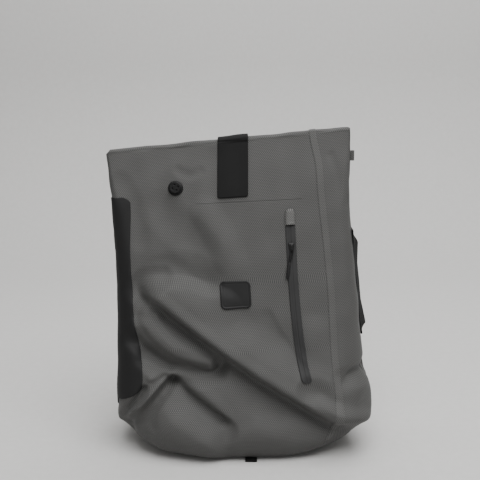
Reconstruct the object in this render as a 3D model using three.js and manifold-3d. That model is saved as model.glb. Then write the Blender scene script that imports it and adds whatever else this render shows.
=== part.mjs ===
import * as THREE from 'three';
import Module from 'manifold-3d';
import { mergeVertices } from 'three/addons/utils/BufferGeometryUtils.js';

// Bicycle messenger backpack with a folded-over mouth, standing by itself on its base.
// Units are millimetres. +Z is up, +X is the viewer's right, and the front panel faces -Y.

// Body
const BAG_WIDTH = 322;
const BAG_HEIGHT = 396;
const BAG_DEPTH = 141;
const BELLY = 11;
const SIDE_LEAN = 21;
const TOP_RISE = 29;
const CORNER_RADIUS = 60;
const BACK_CORNER_RADIUS = 14;
const BASE_ROUND = 26;
const BASE_ROUND_FRONT = 22;
const BASE_ROUND_SIDE = 72;
const BASE_SIDE_HEIGHT = 60;
const BASE_ROUND_BACK = 6;
const BASE_THICKNESS = 2.4;
const FABRIC_WALL = 1.2;

// Folded mouth at the top
const MOUTH_GAP = 2.8;
const MOUTH_THICKNESS = 2 * FABRIC_WALL + MOUTH_GAP;
const MOUTH_DROP = 38;
const MOUTH_CLEARANCE = 0.8;
const MOUTH_RADIUS = (MOUTH_THICKNESS + MOUTH_CLEARANCE) / 2;

// Folds of the front, whose height and spread are shares of these two
const FOLD_HEIGHT = 12;
const FOLD_SPREAD = 30;

// Gaps: between the panels at a seam, between a laid-on piece and the fabric under it, and the
// same where the piece crosses folds
const SEAM_GAP = 0.3;
const LAY_GAP = 0.6;
const FOLD_GAP = 1.3;
const STRIP_GAP = 0.9;

// Seam strip and side patch
const SEAM_BAND_WIDTH = 9;
const SEAM_BAND_THICKNESS = 1;
const SIDE_PATCH_THICKNESS = 1.2;

// Closure strap
const CLOSURE_WIDTH = 40;
const CLOSURE_LENGTH = 70;
const CLOSURE_THICKNESS = 1.8;
const CLOSURE_OFFSET = 7;
const CLOSURE_SEWN_LENGTH = 10;
const CLOSURE_CORNER = 3;

// Valve
const VALVE_FLANGE_RADIUS = 10;
const VALVE_FLANGE_THICKNESS = 1.4;
const VALVE_CAP_RADIUS = 7.6;
const VALVE_CAP_HEIGHT = 3.4;
const VALVE_SLOT_WIDTH = 1.6;
const VALVE_SLOT_LENGTH = 3.2;
const VALVE_SLOT_DEPTH = 1.6;
const VALVE_SLOT_COUNT = 4;

// Zip
const ZIP_WIDTH = 12;
const ZIP_TAPE_THICKNESS = 1;
const ZIP_GARAGE_LENGTH = 17;
const ZIP_GARAGE_WIDTH = 14;
const ZIP_GARAGE_THICKNESS = 2.4;
const ZIP_SLIDER_LENGTH = 11;
const ZIP_SLIDER_WIDTH = 8;
const ZIP_SLIDER_HEIGHT = 3;
const ZIP_PULL_LENGTH = 34;
const ZIP_PULL_WIDTH = 4;
const ZIP_PULL_THICKNESS = 2;

// Label patch
const LABEL_WIDTH = 39;
const LABEL_HEIGHT = 33;
const LABEL_THICKNESS = 1.6;
const LABEL_CORNER = 4;

// Webbing pieces
const WEBBING_THICKNESS = 2;
const SIDE_HANDLE_LENGTH = 133;
const SIDE_HANDLE_WIDTH = 25;
const SIDE_HANDLE_GAP = 6.6;
const SIDE_TAB_HEIGHT = 14;
const SIDE_TAB_REACH = 5;
const SIDE_TAB_THICKNESS = 3;
const BOTTOM_TAB_WIDTH = 15;
const BOTTOM_TAB_LENGTH = 10;
const BOTTOM_TAB_THICKNESS = 2;

// Back pad, straps and handle
const PAD_THICKNESS = 5;
const PAD_MARGIN = 62;
const SHOULDER_WIDTH = 62;
const SHOULDER_THICKNESS = 6;
const SHOULDER_BOW = 20;
const STRAP_WEBBING_WIDTH = 25;
const STRAP_SEWN_GAP = 0.4;
const LOCK_WIDTH = 34;
const LOCK_HEIGHT = 28;
const LOCK_THICKNESS = 4;
const LOCK_BAR = 4;
const ANCHOR_THICKNESS = 1.6;
const ANCHOR_WIDTH = 30;
const ANCHOR_GAP = 3;
const GRAB_LENGTH = 110;
const GRAB_WIDTH = 22;
const GRAB_BOW = 20;

// Levels of the body from the base to the top edge. up is a share of BAG_HEIGHT, half of half
// BAG_WIDTH, lean of SIDE_LEAN, back and deep of BAG_DEPTH, belly of BELLY, and left and right
// are the front corners' radii as shares of CORNER_RADIUS.
const SECTIONS = [
  { up: 0.00, half: 0.985, lean: 0.00, back: 0.500, deep: 0.962, belly: 1.30, left: 0.95, right: 1.00 },
  { up: 0.08, half: 1.000, lean: 0.08, back: 0.498, deep: 0.960, belly: 1.25, left: 0.80, right: 1.00 },
  { up: 0.20, half: 1.015, lean: 0.16, back: 0.489, deep: 0.864, belly: 1.10, left: 0.48, right: 0.98 },
  { up: 0.32, half: 0.995, lean: 0.04, back: 0.470, deep: 0.733, belly: 1.00, left: 0.44, right: 0.90 },
  { up: 0.52, half: 0.978, lean: -0.17, back: 0.428, deep: 0.512, belly: 0.80, left: 0.42, right: 0.58 },
  { up: 0.72, half: 0.966, lean: -0.46, back: 0.373, deep: 0.294, belly: 0.45, left: 0.32, right: 0.34 },
  { up: 0.82, half: 0.966, lean: -0.57, back: 0.342, deep: 0.182, belly: 0.25, left: 0.22, right: 0.24 },
  { up: 0.90, half: 0.980, lean: -0.63, back: 0.328, deep: 0.098, belly: 0.10, left: 0.14, right: 0.14 },
  { up: 0.96, half: 0.988, lean: -0.70, back: 0.326, deep: 0.037, belly: 0.03, left: 0.08, right: 0.08 },
  { up: 1.00, half: 0.995, lean: -0.74, back: 0.326, deep: 0.000, belly: 0.00, left: 0.04, right: 0.04 },
];

// Folds and dents of the front, each drawn through three places. A place is a share of half the
// width across and of the height up. rise is a share of FOLD_HEIGHT, over and under are the
// spreads to the left and right of the drawn direction as shares of FOLD_SPREAD.
const FOLDS = [
  { from: [-0.66, 0.52], via: [0.07, 0.311], to: [0.84, 0.125], rise: 1.00, over: 1.70, under: 0.62 },
  { from: [-0.64, 0.475], via: [0.03, 0.268], to: [0.76, 0.09], rise: -0.70, over: 0.50, under: 1.50 },
  { from: [-0.74, 0.46], via: [-0.58, 0.373], to: [-0.24, 0.303], rise: 0.80, over: 0.80, under: 0.50 },
  { from: [-0.82, 0.36], via: [-0.56, 0.298], to: [-0.20, 0.283], rise: -0.85, over: 1.00, under: 0.35 },
  { from: [-0.545, 0.245], via: [-0.72, 0.172], to: [-0.91, 0.085], rise: -0.70, over: 1.20, under: 0.36 },
  { from: [-0.545, 0.245], via: [-0.36, 0.19], to: [-0.13, 0.128], rise: -0.70, over: 0.36, under: 1.20 },
  { from: [-0.58, 0.15], via: [-0.48, 0.115], to: [-0.32, 0.08], rise: 0.80, over: 1.50, under: 1.50 },
  { from: [-0.78, 0.225], via: [-0.85, 0.17], to: [-0.91, 0.11], rise: -0.36, over: 0.35, under: 0.25 },
  { from: [-0.73, 0.53], via: [-0.50, 0.588], to: [-0.24, 0.555], rise: -0.45, over: 1.10, under: 0.50 },
  { from: [-0.64, 0.545], via: [-0.40, 0.535], to: [-0.10, 0.50], rise: 0.35, over: 0.60, under: 1.10 },
  { from: [-0.22, 0.78], via: [-0.13, 0.71], to: [-0.03, 0.62], rise: 0.25, over: 0.90, under: 0.80 },
  { from: [-0.58, 0.80], via: [-0.42, 0.73], to: [-0.26, 0.67], rise: -0.25, over: 1.00, under: 1.00 },
  { from: [-0.10, 0.425], via: [0.15, 0.395], to: [0.36, 0.335], rise: -0.28, over: 1.20, under: 0.80 },
  { from: [0.58, 0.40], via: [0.62, 0.33], to: [0.70, 0.26], rise: 0.25, over: 0.90, under: 0.90 },
  { from: [0.78, 0.25], via: [0.90, 0.262], to: [1.20, 0.27], rise: -0.42, over: 0.55, under: 0.60 },
  { from: [0.72, 0.215], via: [0.92, 0.21], to: [1.20, 0.205], rise: 0.24, over: 0.80, under: 0.90 },
  { from: [0.52, 0.225], via: [0.70, 0.205], to: [0.86, 0.175], rise: -0.52, over: 0.70, under: 0.55 },
  { from: [-0.04, 0.10], via: [0.30, 0.10], to: [0.66, 0.085], rise: 0.35, over: 0.90, under: 0.80 },
  { from: [-1.40, 0.11], via: [-1.10, 0.10], to: [-0.88, 0.085], rise: 0.50, over: 0.80, under: 0.80 },
];

// The right seam and the side patch's front edge: share of half the width at shares of the height
const SEAM_LINE = [
  { up: 0.00, across: 0.74 },
  { up: 0.25, across: 0.735 },
  { up: 0.64, across: 0.76 },
  { up: 0.89, across: 0.73 },
  { up: 1.00, across: 0.68 },
];
const SIDE_PATCH_EDGE = [
  { up: 0.175, across: -0.88 },
  { up: 0.21, across: -0.81 },
  { up: 0.26, across: -0.78 },
  { up: 0.37, across: -0.82 },
  { up: 0.47, across: -0.855 },
  { up: 0.66, across: -0.86 },
  { up: 0.825, across: -0.84 },
  { up: 0.845, across: -0.86 },
];
const ZIP_LINE = [
  { up: 0.245, across: 0.515 },
  { up: 0.32, across: 0.49 },
  { up: 0.46, across: 0.47 },
  { up: 0.57, across: 0.47 },
  { up: 0.66, across: 0.48 },
  { up: 0.77, across: 0.49 },
];
const SIDE_PATCH_UP = { low: 0.175, high: 0.845 };
const SIDE_PATCH_BACK = 4.5;
const ZIP_UP = { low: 0.256, high: 0.728, slider: 0.66 };
const LABEL_PLACE = { across: -0.008, up: 0.52 };
const VALVE_PLACE = { across: -0.45, up: 0.866 };
const SIDE_HANDLE_PLACE = { across: 1.25, up: 0.529 };
const SIDE_TAB_PLACE = { across: 1.5, up: 0.925 };
const BOTTOM_TAB_ACROSS = 0.09;
const PAD_UP = { low: 0.075, high: 0.845 };

// Shares of the full width or thickness at the ends and edges of some pieces
const TAPERS = { zipEnd: 0.6, garageTop: 0.7, padEdge: 0.45, strapEnd: 0.6, anchorTop: 0.7, flat: 0.8, flank: 0.45 };

// Facets: rows of the body between these levels, and columns between the stops of its outline.
// A level above 1 is on the fold, above 2 on the part that hangs down behind.
const ROW_SPANS = [
  { from: 0, to: BASE_ROUND / BAG_HEIGHT, count: 4 },
  { from: BASE_ROUND / BAG_HEIGHT, to: 0.66, count: 21 },
  { from: 0.66, to: 1, count: 7 },
  { from: 1, to: 2, count: 6 },
  { from: 2, to: 3, count: 2 },
];
const COLUMN_COUNTS = [3, 22, 2, 4, 2, 2, 5, 2, 2];

// Places round the body: the front runs from -1 to 1, then the right side, the back and the left
const ROUND = { frontRight: 1, backRight: 2, backMiddle: 3, backLeft: 4, frontLeft: 5, whole: 6 };

// The corners' radii: least as a share of BASE_ROUND, most of the body's depth at that level
const CORNER_LIMIT = { least: 0.25, most: 0.35 };

// Least room between the seam's column and the corner's columns, as a share of half the width
const SEAM_ROOM = { least: 0.04 };

// Reads a table at a share of the height, as a smooth curve through its rows.
function readTable(table, up, column) {
  const last = table.length - 1;
  const at = THREE.MathUtils.clamp(up, table[0].up, table[last].up);
  let row = 0;
  while (row < last - 1 && at > table[row + 1].up) row += 1;
  const slope = (a, b) => (table[b][column] - table[a][column]) / (table[b].up - table[a].up);
  const span = table[row + 1].up - table[row].up;
  const share = (at - table[row].up) / span;
  const slopeIn = slope(Math.max(row - 1, 0), row + 1) * span;
  const slopeOut = slope(row, Math.min(row + 2, last)) * span;
  const square = share * share;
  const cube = square * share;
  return (2 * cube - 3 * square + 1) * table[row][column]
    + (cube - 2 * square + share) * slopeIn
    + (3 * square - 2 * cube) * table[row + 1][column]
    + (cube - square) * slopeOut;
}

// The body's sizes at one level. Over BASE_ROUND of height the outline draws in at the front and
// back of the base, over BASE_SIDE_HEIGHT at its sides, and towards the top it flattens to the two
// layers of the mouth.
function readLevel(level) {
  const up = Math.min(level, 1);
  const edgeUp = level > 2 ? 1 - ((level - 2) * MOUTH_DROP) / BAG_HEIGHT : up;
  const quarter = Math.min((up * BAG_HEIGHT) / BASE_ROUND, 1) * Math.PI / 2;
  const drawn = 1 - Math.sin(quarter);
  const inset = BASE_ROUND_FRONT * drawn;
  const backInset = BASE_ROUND_BACK * drawn;
  const lift = quarter < Math.PI / 2 ? BASE_ROUND * (1 - Math.cos(quarter)) : up * BAG_HEIGHT;
  const below = 1 - Math.min(lift / BASE_SIDE_HEIGHT, 1);
  const drawnSide = 1 - Math.sqrt(1 - below ** 2);
  const deep = MOUTH_THICKNESS + readTable(SECTIONS, up, 'deep') * (BAG_DEPTH - MOUTH_THICKNESS);
  const back = readTable(SECTIONS, up, 'back') * BAG_DEPTH;
  const half = readTable(SECTIONS, edgeUp, 'half') * BAG_WIDTH / 2 - BASE_ROUND_SIDE * drawnSide;
  const cornerLimit = CORNER_LIMIT.most * (deep - inset - backInset);
  const corner = (radius) => Math.min(Math.max(radius - inset, CORNER_LIMIT.least * BASE_ROUND), cornerLimit);
  return {
    up,
    lift,
    half,
    middle: readTable(SECTIONS, edgeUp, 'lean') * SIDE_LEAN,
    front: back - deep + inset,
    back: back - backInset,
    belly: readTable(SECTIONS, up, 'belly') * BELLY,
    left: corner(readTable(SECTIONS, up, 'left') * CORNER_RADIUS),
    right: corner(readTable(SECTIONS, up, 'right') * CORNER_RADIUS),
    rear: corner(BACK_CORNER_RADIUS),
  };
}

// A straight run between two rounded corners, for a place from -1 to 1 along it: how far across
// it lies, how far it has turned at a corner, and that corner's radius.
function runWithCorners(place, half, radiusLow, radiusHigh) {
  const side = Math.sign(place) || 1;
  const radius = side > 0 ? radiusHigh : radiusLow;
  const straight = 1 - radius / half;
  if (Math.abs(place) <= straight) return { across: place, turn: 0, radius };
  const turn = side * (Math.abs(place) - straight) / (1 - straight) * Math.PI / 2;
  return { across: side * straight + (radius / half) * Math.sin(turn), turn, radius };
}

// The place along the front for a share of half the width, the reverse of the run's corners.
function frontPlace(across, level) {
  const size = readLevel(level);
  const side = Math.sign(across) || 1;
  const radius = side > 0 ? size.right : size.left;
  const straight = 1 - radius / size.half;
  if (Math.abs(across) <= straight) return across;
  const sine = Math.min((Math.abs(across) - straight) / (1 - straight), 1);
  return side * (straight + (1 - straight) * Math.asin(sine) / (Math.PI / 2));
}

// How far the folds push the fabric out at a place, in millimetres.
const FOLD_CURVES = FOLDS.map((fold) => {
  const scaled = ([across, up]) => new THREE.Vector2(across * BAG_WIDTH / 2, up * BAG_HEIGHT);
  const [from, via, to] = [fold.from, fold.via, fold.to].map(scaled);
  const control = via.clone().multiplyScalar(2).sub(from.clone().add(to).multiplyScalar(0.5));
  const points = new THREE.QuadraticBezierCurve(from, control, to).getPoints(8);
  return { ...fold, points };
});

function foldRelief(across, up) {
  const here = new THREE.Vector2(across * BAG_WIDTH / 2, up * BAG_HEIGHT);
  let relief = 0;
  for (const fold of FOLD_CURVES) {
    let nearest = Infinity;
    for (let index = 1; index < fold.points.length; index += 1) {
      const start = fold.points[index - 1];
      const along = fold.points[index].clone().sub(start);
      const away = here.clone().sub(start);
      const share = THREE.MathUtils.clamp(away.dot(along) / along.lengthSq(), 0, 1);
      const off = away.clone().addScaledVector(along, -share);
      const gap = off.length();
      const lean = gap > 0 ? along.cross(off) / along.length() / gap : 0;
      const spread = FOLD_SPREAD * THREE.MathUtils.lerp(fold.under, fold.over, (1 + lean) / 2);
      nearest = Math.min(nearest, gap / spread);
    }
    if (nearest < 1) relief += fold.rise * FOLD_HEIGHT * (1 - nearest ** 2) ** 2;
  }
  return relief;
}

// A point of the fabric's outer face. place runs once round the body: -1 to 1 across the front,
// 1 to 2 along the right side, 2 to 4 across the back and 4 to 5 along the left side.
function bodyPoint(place, level) {
  const size = readLevel(level);
  const at = place > ROUND.frontLeft ? place - ROUND.whole : place;
  let x;
  let y;
  let outward;
  let across = null;
  if (at <= ROUND.frontRight) {
    const run = runWithCorners(at, size.half, size.left, size.right);
    x = run.across * size.half;
    y = size.front + run.radius * (1 - Math.cos(run.turn)) - size.belly * (1 - run.across ** 2);
    outward = [Math.sin(run.turn), -Math.cos(run.turn)];
    across = at;
  } else if (at < ROUND.backRight) {
    x = size.half;
    y = THREE.MathUtils.lerp(size.front + size.right, size.back - size.rear, at - ROUND.frontRight);
    outward = [1, 0];
    across = at;
  } else if (at <= ROUND.backLeft) {
    const run = runWithCorners(ROUND.backMiddle - at, size.half, size.rear, size.rear);
    x = run.across * size.half;
    y = size.back - run.radius * (1 - Math.cos(run.turn));
    outward = [Math.sin(run.turn), Math.cos(run.turn)];
  } else {
    x = -size.half;
    y = THREE.MathUtils.lerp(size.back - size.rear, size.front + size.left, at - ROUND.backLeft);
    outward = [-1, 0];
    across = at - ROUND.whole;
  }
  const relief = across === null ? 0 : foldRelief(across, size.up);
  x += size.middle + outward[0] * relief;
  y += outward[1] * relief;
  const z = size.lift + TOP_RISE * (x / BAG_WIDTH) * size.up ** 2;
  if (level <= 1) return new THREE.Vector3(x, y, z);
  const layer = (size.front + size.back) / 2 - y;
  const turn = Math.PI * Math.min(level - 1, 1);
  const drop = MOUTH_DROP * Math.max(level - 2, 0);
  const radius = MOUTH_RADIUS + layer;
  return new THREE.Vector3(x, y + layer + MOUTH_RADIUS - radius * Math.cos(turn), z + radius * Math.sin(turn) - drop);
}

// The outward direction of the fabric, from two short steps along it.
function bodyNormal(place, level) {
  const step = 0.002;
  const wide = bodyPoint(place + step, level).sub(bodyPoint(Math.max(place - step, -1), level));
  const low = Math.max(level - step, 0);
  const high = bodyPoint(place, level + step).sub(bodyPoint(place, low));
  return wide.cross(high).normalize();
}

// Where the outline's columns stand at one level.
function columnPlaces(level) {
  const size = readLevel(level);
  const seam = frontPlace(readTable(SEAM_LINE, size.up, 'across'), level);
  const stops = [
    -1,
    -1 + size.left / size.half,
    seam,
    Math.max(seam + SEAM_ROOM.least, 1 - size.right / size.half),
    ROUND.frontRight,
    ROUND.backRight,
    ROUND.backRight + size.rear / size.half,
    ROUND.backLeft - size.rear / size.half,
    ROUND.backLeft,
    ROUND.frontLeft,
  ];
  const places = [stops[0]];
  COLUMN_COUNTS.forEach((count, index) => {
    for (let step = 1; step <= count; step += 1) {
      places.push(THREE.MathUtils.lerp(stops[index], stops[index + 1], step / count));
    }
  });
  return places;
}

const LEVELS = [ROW_SPANS[0].from];
for (const span of ROW_SPANS) {
  for (let step = 1; step <= span.count; step += 1) {
    LEVELS.push(THREE.MathUtils.lerp(span.from, span.to, step / span.count));
  }
}
const BODY_ROWS = LEVELS.map((level) => ({
  level,
  knots: columnPlaces(level).map((place) => ({
    place,
    point: bodyPoint(place, level),
    normal: bodyNormal(place, level),
  })),
}));

function blendKnots(low, high, share) {
  return {
    point: low.point.clone().lerp(high.point, share),
    normal: low.normal.clone().lerp(high.normal, share).normalize(),
  };
}

// A spot on the body's facets, so that a piece laid there follows them.
function onBody(place, level) {
  const last = BODY_ROWS.length - 1;
  let row = 0;
  while (row < last - 1 && level > BODY_ROWS[row + 1].level) row += 1;
  const spot = (knots) => {
    let column = 0;
    const at = place < -1 ? place + ROUND.whole : place;
    while (column < knots.length - 2 && at > knots[column + 1].place) column += 1;
    const span = knots[column + 1].place - knots[column].place;
    return blendKnots(knots[column], knots[column + 1], (at - knots[column].place) / span);
  };
  const { level: from } = BODY_ROWS[row];
  const { level: to } = BODY_ROWS[row + 1];
  return blendKnots(spot(BODY_ROWS[row].knots), spot(BODY_ROWS[row + 1].knots), (level - from) / (to - from));
}

// A closed mesh from loose triangles, turned to face out.
function closedGeometry(positions, faces) {
  const geometry = new THREE.BufferGeometry();
  let volume = 0;
  const corner = (index) => new THREE.Vector3().fromArray(positions, index * 3);
  for (const [a, b, c] of faces) volume += corner(a).dot(corner(b).cross(corner(c)));
  const facing = volume > 0 ? faces : faces.map(([a, b, c]) => [a, c, b]);
  geometry.setAttribute('position', new THREE.Float32BufferAttribute(positions, 3));
  geometry.setIndex(facing.flat());
  geometry.computeVertexNormals();
  return geometry;
}

// A sheet with thickness: a grid of knots, from low to high along each knot's normal.
function slab(knots, low, high) {
  const rows = knots.length;
  const columns = knots[0].length;
  const positions = [];
  const faces = [];
  for (const height of [low, high]) {
    knots.forEach((row, rowIndex) => row.forEach((knot, columnIndex) => {
      const away = typeof height === 'function' ? height(columnIndex, rowIndex) : height;
      positions.push(...knot.point.clone().addScaledVector(knot.normal, away).toArray());
    }));
  }
  const layer = rows * columns;
  const quad = (a, b, c, d) => faces.push([a, b, c], [a, c, d]);
  for (let row = 0; row < rows - 1; row += 1) {
    for (let column = 0; column < columns - 1; column += 1) {
      const a = row * columns + column;
      quad(a + layer, a + 1 + layer, a + 1 + columns + layer, a + columns + layer);
      quad(a, a + columns, a + 1 + columns, a + 1);
    }
  }
  const rim = [];
  for (let column = 0; column < columns - 1; column += 1) rim.push(column);
  for (let row = 0; row < rows - 1; row += 1) rim.push(row * columns + columns - 1);
  for (let column = columns - 1; column > 0; column -= 1) rim.push((rows - 1) * columns + column);
  for (let row = rows - 1; row > 0; row -= 1) rim.push(row * columns);
  rim.forEach((from, index) => {
    const to = rim[(index + 1) % rim.length];
    quad(from, to, to + layer, from + layer);
  });
  return closedGeometry(positions, faces);
}

// A solid through a row of outlines that all have as many corners.
function loft(outlines) {
  const sides = outlines[0].length;
  const positions = outlines.flat().flatMap((point) => point.toArray());
  const faces = [];
  for (let index = 0; index < outlines.length - 1; index += 1) {
    for (let side = 0; side < sides; side += 1) {
      const a = index * sides + side;
      const b = index * sides + (side + 1) % sides;
      faces.push([a, b, b + sides], [a, b + sides, a + sides]);
    }
  }
  const end = (outlines.length - 1) * sides;
  for (let side = 1; side < sides - 1; side += 1) {
    faces.push([0, side + 1, side], [end, end + side, end + side + 1]);
  }
  return closedGeometry(positions, faces);
}

// A strip with a width across and a thickness, along points in a plane square to across.
function strip(stations, across, rounded) {
  const outlines = stations.map(({ point, width, thickness }, index) => {
    const before = stations[Math.max(index - 1, 0)].point;
    const after = stations[Math.min(index + 1, stations.length - 1)].point;
    const out = after.clone().sub(before).cross(across).normalize();
    const halfWidth = width / 2;
    const halfThick = thickness / 2;
    const shoulder = rounded ? halfWidth - halfThick * TAPERS.flat : halfWidth;
    const flank = halfThick * TAPERS.flank;
    const section = rounded
      ? [[shoulder, halfThick], [halfWidth, flank], [halfWidth, -flank], [shoulder, -halfThick],
        [-shoulder, -halfThick], [-halfWidth, -flank], [-halfWidth, flank], [-shoulder, halfThick]]
      : [[halfWidth, halfThick], [halfWidth, -halfThick], [-halfWidth, -halfThick], [-halfWidth, halfThick]];
    return section.map(([wide, high]) => point.clone()
      .addScaledVector(across, wide).addScaledVector(out, high));
  });
  return loft(outlines);
}

// A frame lying on the body at a spot, with its z axis pointing away from the fabric.
function seatOnBody(geometry, place, level, gap) {
  const { point, normal } = onBody(place, level);
  const right = new THREE.Vector3(0, 0, 1).cross(normal).normalize().negate();
  const upward = new THREE.Vector3().crossVectors(normal, right);
  const frame = new THREE.Matrix4().makeBasis(right, upward, normal);
  frame.setPosition(point.clone().addScaledVector(normal, gap));
  return geometry.applyMatrix4(frame);
}

const MATERIALS = {
  fabric: { color: 0x5d5d5b, roughness: 0.78, metalness: 0 },
  rubber: { color: 0x232323, roughness: 0.62, metalness: 0 },
  webbing: { color: 0x1f1f20, roughness: 0.85, metalness: 0 },
  padding: { color: 0x2b2b2c, roughness: 0.9, metalness: 0 },
  plastic: { color: 0x1a1a1b, roughness: 0.45, metalness: 0 },
};

const backpack = new THREE.Group();
function addPiece(name, finish, geometry) {
  const piece = new THREE.Mesh(geometry, new THREE.MeshStandardMaterial(MATERIALS[finish]));
  piece.name = name;
  backpack.add(piece);
}

// Body panels: each takes its columns of the body, drawn in by half the seam gap at both seams.
const SEAM_COLUMNS = [
  { name: 'front_panel', from: 0, to: 2 },
  { name: 'right_gusset', from: 2, to: 5 },
  { name: 'back_panel', from: 5, to: 8 },
  { name: 'left_gusset', from: 8, to: 9 },
];
function drawIn(edge, inner) {
  const share = SEAM_GAP / 2 / edge.point.distanceTo(inner.point);
  return blendKnots(edge, inner, share);
}
const countColumns = (spans) => COLUMN_COUNTS.slice(0, spans).reduce((sum, count) => sum + count, 0);
for (const { name, from, to } of SEAM_COLUMNS) {
  const first = countColumns(from);
  const final = countColumns(to);
  const knots = BODY_ROWS.map((row) => {
    const taken = row.knots.slice(first, final + 1);
    const last = taken.length - 1;
    return [drawIn(taken[0], taken[1]), ...taken.slice(1, last), drawIn(taken[last], taken[last - 1])];
  });
  addPiece(name, 'fabric', slab(knots, -FABRIC_WALL, 0));
}

// Base: a flat stiffened sheet inside the lower edge of the panels.
const baseOutline = BODY_ROWS[0].knots.slice(0, -1).map(({ point }) => new THREE.Vector2(point.x, point.y));
const baseCentre = baseOutline.reduce((sum, point) => sum.add(point), new THREE.Vector2())
  .divideScalar(baseOutline.length);
const baseShape = new THREE.Shape(baseOutline.map((point) => {
  const inward = baseCentre.clone().sub(point);
  return point.clone().addScaledVector(inward.normalize(), 2 * SEAM_GAP);
}));
addPiece('base_panel', 'padding', new THREE.ExtrudeGeometry(baseShape, { depth: BASE_THICKNESS, bevelEnabled: false }));

// Rows of the body between two levels, with the two levels themselves.
function levelsBetween(low, high) {
  const apart = 0.001;
  return [low, ...LEVELS.filter((level) => level > low + apart && level < high - apart), high];
}

// Columns of the laid-on pieces: shares of the seam band's width and of the strap's half width
const SEAM_BAND_COLUMNS = [-0.2, 0, 0.4, 0.8];
const CLOSURE_COLUMNS = [-1, -0.88, 0, 0.88, 1];

// Seam band over the join of front panel and right gusset, from the base over the fold.
addPiece('seam_band', 'fabric', slab(levelsBetween(BASE_ROUND / BAG_HEIGHT, 3).map((level) => {
  const size = readLevel(level);
  const seam = readTable(SEAM_LINE, size.up, 'across');
  const share = SEAM_BAND_WIDTH / size.half;
  return SEAM_BAND_COLUMNS.map((part) => onBody(frontPlace(seam + part * share, level), level));
}), STRIP_GAP, STRIP_GAP + SEAM_BAND_THICKNESS));

// Side patch round the left front edge.
const patchRows = levelsBetween(SIDE_PATCH_UP.low, SIDE_PATCH_UP.high);
addPiece('side_patch', 'rubber', slab(patchRows.map((level) => {
  const edge = frontPlace(readTable(SIDE_PATCH_EDGE, level, 'across'), level);
  const corner = columnPlaces(level).slice(1, COLUMN_COUNTS[0] + 1);
  const last = corner.length - 1;
  corner[last] = Math.min(corner[last], (corner[last - 1] + edge) / 2);
  return [SIDE_PATCH_BACK, ROUND.frontLeft, ...corner, edge].map((place) => onBody(place, level));
}), FOLD_GAP, FOLD_GAP + SIDE_PATCH_THICKNESS));

// Closure strap: sewn to the back below the fold, up over it and down the front.
const backKnot = (x, level) => {
  const size = readLevel(level);
  const { point } = onBody(ROUND.backMiddle - (x - size.middle) / size.half, level);
  return { point, normal: new THREE.Vector3(0, 1, 0) };
};
const closureLow = 1 - CLOSURE_LENGTH / BAG_HEIGHT;
const topMiddle = readLevel(1).middle;
const strapBottom = BAG_HEIGHT - MOUTH_DROP - CLOSURE_SEWN_LENGTH;
const closureRows = levelsBetween(closureLow, 3).map((level, index) => CLOSURE_COLUMNS.map((part) => {
  const size = readLevel(level);
  const x = topMiddle + CLOSURE_OFFSET + part * CLOSURE_WIDTH / 2;
  const rounded = index === 0 && Math.abs(part) === 1 ? CLOSURE_CORNER / BAG_HEIGHT : 0;
  return onBody((x - size.middle) / size.half, level + rounded);
}));
const sewnLevels = [strapBottom, strapBottom - CLOSURE_SEWN_LENGTH].map((height) => height / BAG_HEIGHT);
for (const level of sewnLevels) {
  closureRows.push(CLOSURE_COLUMNS.map((part) => backKnot(topMiddle + CLOSURE_OFFSET + part * CLOSURE_WIDTH / 2, level)));
}
addPiece('closure_strap', 'rubber', slab(closureRows, LAY_GAP, LAY_GAP + CLOSURE_THICKNESS));

// Label patch with chamfered corners, on the body's own rows and columns.
const labelLow = LABEL_PLACE.up - LABEL_HEIGHT / 2 / BAG_HEIGHT;
const labelHigh = LABEL_PLACE.up + LABEL_HEIGHT / 2 / BAG_HEIGHT;
const labelHalf = LABEL_WIDTH / 2 / readLevel(LABEL_PLACE.up).half;
const labelColumns = columnPlaces(LABEL_PLACE.up)
  .map((place, column) => ({ place, column }))
  .filter(({ place }) => Math.abs(place - LABEL_PLACE.across) < labelHalf)
  .map(({ column }) => column);
const labelRows = levelsBetween(labelLow, labelHigh);
addPiece('label_patch', 'rubber', slab(labelRows.map((level, row) => {
  const atEnd = row === 0 || row === labelRows.length - 1;
  const half = labelHalf - (atEnd ? LABEL_CORNER / (BAG_WIDTH / 2) : 0);
  const inner = labelColumns.map((column) => columnPlaces(level)[column]);
  return [LABEL_PLACE.across - half, ...inner, LABEL_PLACE.across + half].map((place) => onBody(place, level));
}), LAY_GAP, LAY_GAP + LABEL_THICKNESS));

// Zip: tape, hood over its top, slider and pull.
const zipKnot = (level, wide) => {
  const size = readLevel(level);
  return onBody(frontPlace(readTable(ZIP_LINE, level, 'across') + wide / size.half, level), level);
};
const zipRows = levelsBetween(ZIP_UP.low, ZIP_UP.high);
addPiece('zip_tape', 'webbing', slab(zipRows.map((level, index) => {
  const half = (index === 0 ? TAPERS.zipEnd : 1) * ZIP_WIDTH / 2;
  return [-half, 0, half].map((wide) => zipKnot(level, wide));
}), FOLD_GAP, FOLD_GAP + ZIP_TAPE_THICKNESS));
const garageLow = ZIP_UP.high + 2 * SEAM_GAP / BAG_HEIGHT;
const garageHigh = garageLow + ZIP_GARAGE_LENGTH / BAG_HEIGHT;
addPiece('zip_garage', 'fabric', slab([garageLow, (garageLow + garageHigh) / 2, garageHigh].map((level, index) => {
  const half = (index === 2 ? TAPERS.garageTop : 1) * ZIP_GARAGE_WIDTH / 2;
  return [-half, 0, half].map((wide) => zipKnot(level, wide));
}), LAY_GAP, LAY_GAP + ZIP_GARAGE_THICKNESS));
const zipTop = FOLD_GAP + ZIP_TAPE_THICKNESS;
const sliderShape = new THREE.Shape();
sliderShape.moveTo(-ZIP_SLIDER_WIDTH / 2, ZIP_SLIDER_LENGTH / 2);
sliderShape.lineTo(-ZIP_SLIDER_WIDTH / 3, -ZIP_SLIDER_LENGTH / 2);
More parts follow.
